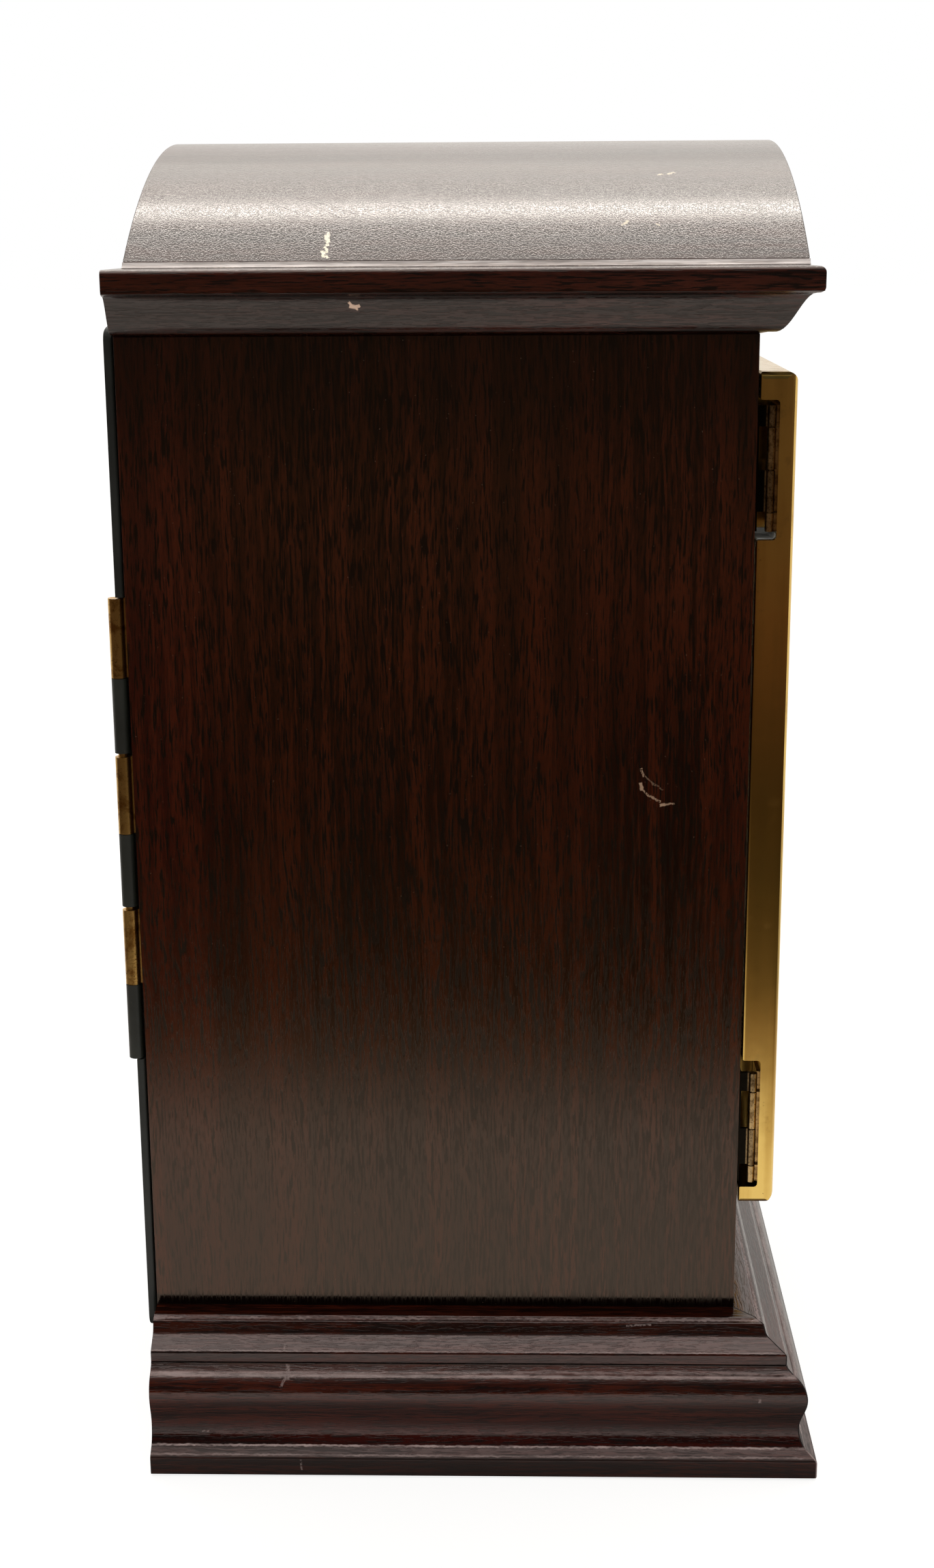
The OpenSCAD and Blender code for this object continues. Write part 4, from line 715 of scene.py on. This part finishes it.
def letter(kind):
    """Width and strokes of a roman numeral letter, from x 0"""
    head = numeral_h - serif
    if kind == "I":
        w, thick = 3.6, 1.7
        return w, [bar_shape((w - thick) / 2, (w + thick) / 2, 0, numeral_h),
                   bar_shape(0.3, w - 0.3, 0, serif), bar_shape(0.3, w - 0.3, head, numeral_h)]
    w = 8.2
    if kind == "V":
        return w, [[(1.3, numeral_h), (3.1, numeral_h), (w / 2 + 0.5, 0), (w / 2 - 0.5, 0)],
                   [(w - 2.2, numeral_h), (w - 1.6, numeral_h), (w / 2 + 0.3, 0), (w / 2 - 0.1, 0)],
                   bar_shape(0.4, 4.1, head, numeral_h), bar_shape(w - 3.4, w - 0.4, head, numeral_h)]
    return w, [[(1.2, numeral_h), (3.0, numeral_h), (w - 1.2, 0), (w - 3.0, 0)],
               [(w - 2.2, numeral_h), (w - 1.6, numeral_h), (2.2, 0), (1.6, 0)],
               bar_shape(0.4, 4.0, head, numeral_h), bar_shape(w - 3.4, w - 0.4, head, numeral_h),
               bar_shape(0.4, 3.4, 0, serif), bar_shape(w - 4.0, w - 0.4, 0, serif)]


def on_ring(shape, angle, foot_radius):
    """Local x and height in mm, to X and Z in metres with the foot towards the centre"""
    a = math.radians(angle)
    up = (math.cos(a), math.sin(a))
    right = (math.sin(a), -math.cos(a))
    return [((px * right[0] + (foot_radius + pz) * up[0]) * MM,
             dial_centre.z + (px * right[1] + (foot_radius + pz) * up[1]) * MM) for px, pz in shape]


def arc_band(r0, r1, count=120):
    """A thin ring of small flat plates between two radii"""
    bands = []
    for i in range(count):
        a0 = 2 * math.pi * i / count
        a1 = 2 * math.pi * (i + 1) / count
        bands.append([(r * math.cos(a) * MM, dial_centre.z + r * math.sin(a) * MM)
                      for r, a in ((r0, a0), (r1, a0), (r1, a1), (r0, a1))])
    return bands


numerals = []
hours = ["I", "II", "III", "IIII", "V", "VI", "VII", "VIII", "IX", "X", "XI", "XII"]
for hour, text in enumerate(hours, 1):
    letters = [letter(kind) for kind in text]
    squeeze = 0.86 if len(text) > 3 else 1.0
    x = -sum(w for w, _ in letters) / 2
    for w, strokes in letters:
        for stroke in strokes:
            moved = [((x + px) * squeeze, pz) for px, pz in stroke]
            numerals.append(on_ring(moved, 90 - 30 * hour, numeral_foot))
        x += w
flat_mesh("chapter_numerals", numerals, ring_face, wax_depth, wax, "case")

ticks = []
for minute in range(60):
    half = 0.42 if minute % 5 else 0.9
    ticks.append(on_ring(bar_shape(-half, half, 0, tick_h), 90 - 6 * minute, tick_foot))
for radius in (ring_r - 4.75, ring_r - 1.75, ring_r - 22.6):
    ticks += arc_band(radius, radius + band_w)
for i in range(12):
    diamond = [(0, 0), (0.9, 1.3), (0, 2.6), (-0.9, 1.3)]
    ticks.append(on_ring(diamond, 90 - 30 * i - 15, ring_r - 16.5))
flat_mesh("minute_marks", ticks, ring_face, wax_depth, wax, "case")

# Turned collets round the winding holes
dial_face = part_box("dial_plate")[0].y
collet_profile = [(5.0, 0.6), (5.0, -0.2), (5.4, -0.7), (6.2, -0.8), (6.8, -0.4), (7.0, 0.0), (7.0, 0.2)]
for side, arbor in (("right", "going_winding_arbor"), ("left", "strike_winding_arbor")):
    lo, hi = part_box(arbor)
    centre = (lo + hi) / 2
    centre.y = dial_face
    lathe(f"winding_collet_{side}", collet_profile, centre, brass_plate, "case")


# Floor, light, camera
def stage_floor():
    """A plain pale table. Past its edge on the left side, reflections show a dim brown room, and close to the
    case they show a painted contact shadow.
    """
    reach = 12.0
    corners = [(-reach, -reach, 0), (reach, -reach, 0), (reach, reach, 0), (-reach, reach, 0)]
    g = Graph("pale_floor")
    x, y, _ = g.xyz()
    out_x = g.larger(g.minus(g.size(x), half_w + 0.02), 0.0)
    out_y = g.larger(g.minus(g.size(y), back_y + 0.02), 0.0)
    away = g.length(out_x, out_y)
    pale = rgb(255, 250, 243)
    stops = [(0.0, pale), (0.110, pale), (0.162, rgb(150, 126, 100)), (0.205, rgb(86, 72, 52)),
             (0.36, rgb(48, 40, 30)), (0.74, rgb(91, 62, 44)), (1.0, rgb(92, 74, 58))]
    room = g.ramp(g.math("DIVIDE", away, 1.6), stops)
    room = g.mix(g.span(x, -0.06, 0.20), room, pale)
    # Painted shadow: in reflections the floor darkens close to the case
    contact_shade = g.span(away, 0.0, 0.045, 0.16, 1.0)
    seen, glossy = g.rays()
    lit = g.node("ShaderNodeBsdfDiffuse", {"Color": rgb(235, 233, 230)}).outputs[0]
    dim = g.node("ShaderNodeBsdfDiffuse", {"Color": rgb(148, 147, 145)}).outputs[0]
    glow = g.node("ShaderNodeEmission", {"Color": (1.0, 1.0, 1.0), "Strength": 0.79}).outputs[0]
    bright = g.node("ShaderNodeAddShader", {0: dim, 1: glow}).outputs[0]
    mirrored = g.node("ShaderNodeEmission", {"Color": room, "Strength": contact_shade}).outputs[0]
    floor = new_mesh("floor", corners, [(0, 1, 2, 3)],
                     g.finish(g.mix_shader(glossy, g.mix_shader(seen, lit, bright), mirrored)))
    floor.location.z = -0.0002


def stage_world():
    """Even soft light; reflections see a pale backdrop on the right and a dim room on the left"""
    g = Graph("studio", world=True)
    bpy.context.scene.world = g.made
    where = g.node("ShaderNodeTexCoord").outputs["Generated"]
    towards_right = (0.45, 0.0, 0.22)
    towards = g.node("ShaderNodeVectorMath", {0: where, 1: towards_right}, operation="DOT_PRODUCT")
    levels = [(0.0, 0.05), (0.28, 0.06), (0.42, 0.20), (0.50, 0.44), (0.64, 0.56), (0.82, 0.74), (0.92, 0.74),
              (0.975, 1.0), (1.0, 1.3)]
    room = g.ramp(g.plus(towards.outputs["Value"], 0.5), [(at, (v, v * 0.95, v * 0.89)) for at, v in levels])
    seen, glossy = g.rays()

    def background(colour):
        return g.node("ShaderNodeBackground", {"Color": colour}).outputs[0]

    lit = g.mix_shader(glossy, background((0.85, 0.84, 0.82)), background(room))
    g.finish(g.mix_shader(seen, lit, background((1.0, 1.0, 1.0))))


def lamp(name, place, target, size_x, size_y, power, colour):
    data = bpy.data.lights.new(name, "AREA")
    data.shape = "RECTANGLE"
    data.size = size_x
    data.size_y = size_y
    data.energy = power
    data.color = colour
    made = bpy.data.objects.new(name, data)
    bpy.context.scene.collection.objects.link(made)
    made.location = place
    made.rotation_mode = "QUATERNION"
    made.rotation_quaternion = (Vector(target) - Vector(place)).to_track_quat("-Z", "Y")


def stage_camera(place, forward, above, lens):
    """A camera at place that looks along forward, with above roughly upwards"""
    above = (above - above.dot(forward) * forward).normalized()
    right = forward.cross(above)
    data = bpy.data.cameras.new("camera")
    data.sensor_fit = "AUTO"
    data.sensor_width = 36
    data.lens = lens
    data.clip_start = 0.01
    data.clip_end = 60
    camera = bpy.data.objects.new("camera", data)
    bpy.context.scene.collection.objects.link(camera)
    camera.matrix_world = Matrix((
        (right.x, above.x, -forward.x, place.x),
        (right.y, above.y, -forward.y, place.y),
        (right.z, above.z, -forward.z, place.z),
        (0, 0, 0, 1)))
    bpy.context.scene.camera = camera


stage_floor()
stage_world()
lamp("far_softbox", (1.15, 0.06, 1.92), (0.0, 0.0, 0.32), 1.5, 0.20, 12.5, (1.0, 0.95, 0.89))
lamp("low_softbox", (1.70, 0.0, 1.72), (0.0, 0.0, 0.32), 1.7, 0.70, 4.8, (1.0, 0.93, 0.86))
lamp("top_softbox", (0.1, 0.0, 2.2), (0.05, 0.0, 0.2), 1.5, 1.8, 15, (1.0, 0.96, 0.92))
stage_camera(Vector((-0.61351, -0.01882, 0.30807)), Vector((0.9683, 0.0232, -0.2489)).normalized(),
             Vector((0.2489, -0.0004, 0.9685)), 49.262)
bpy.context.scene.view_settings.view_transform = "Standard"
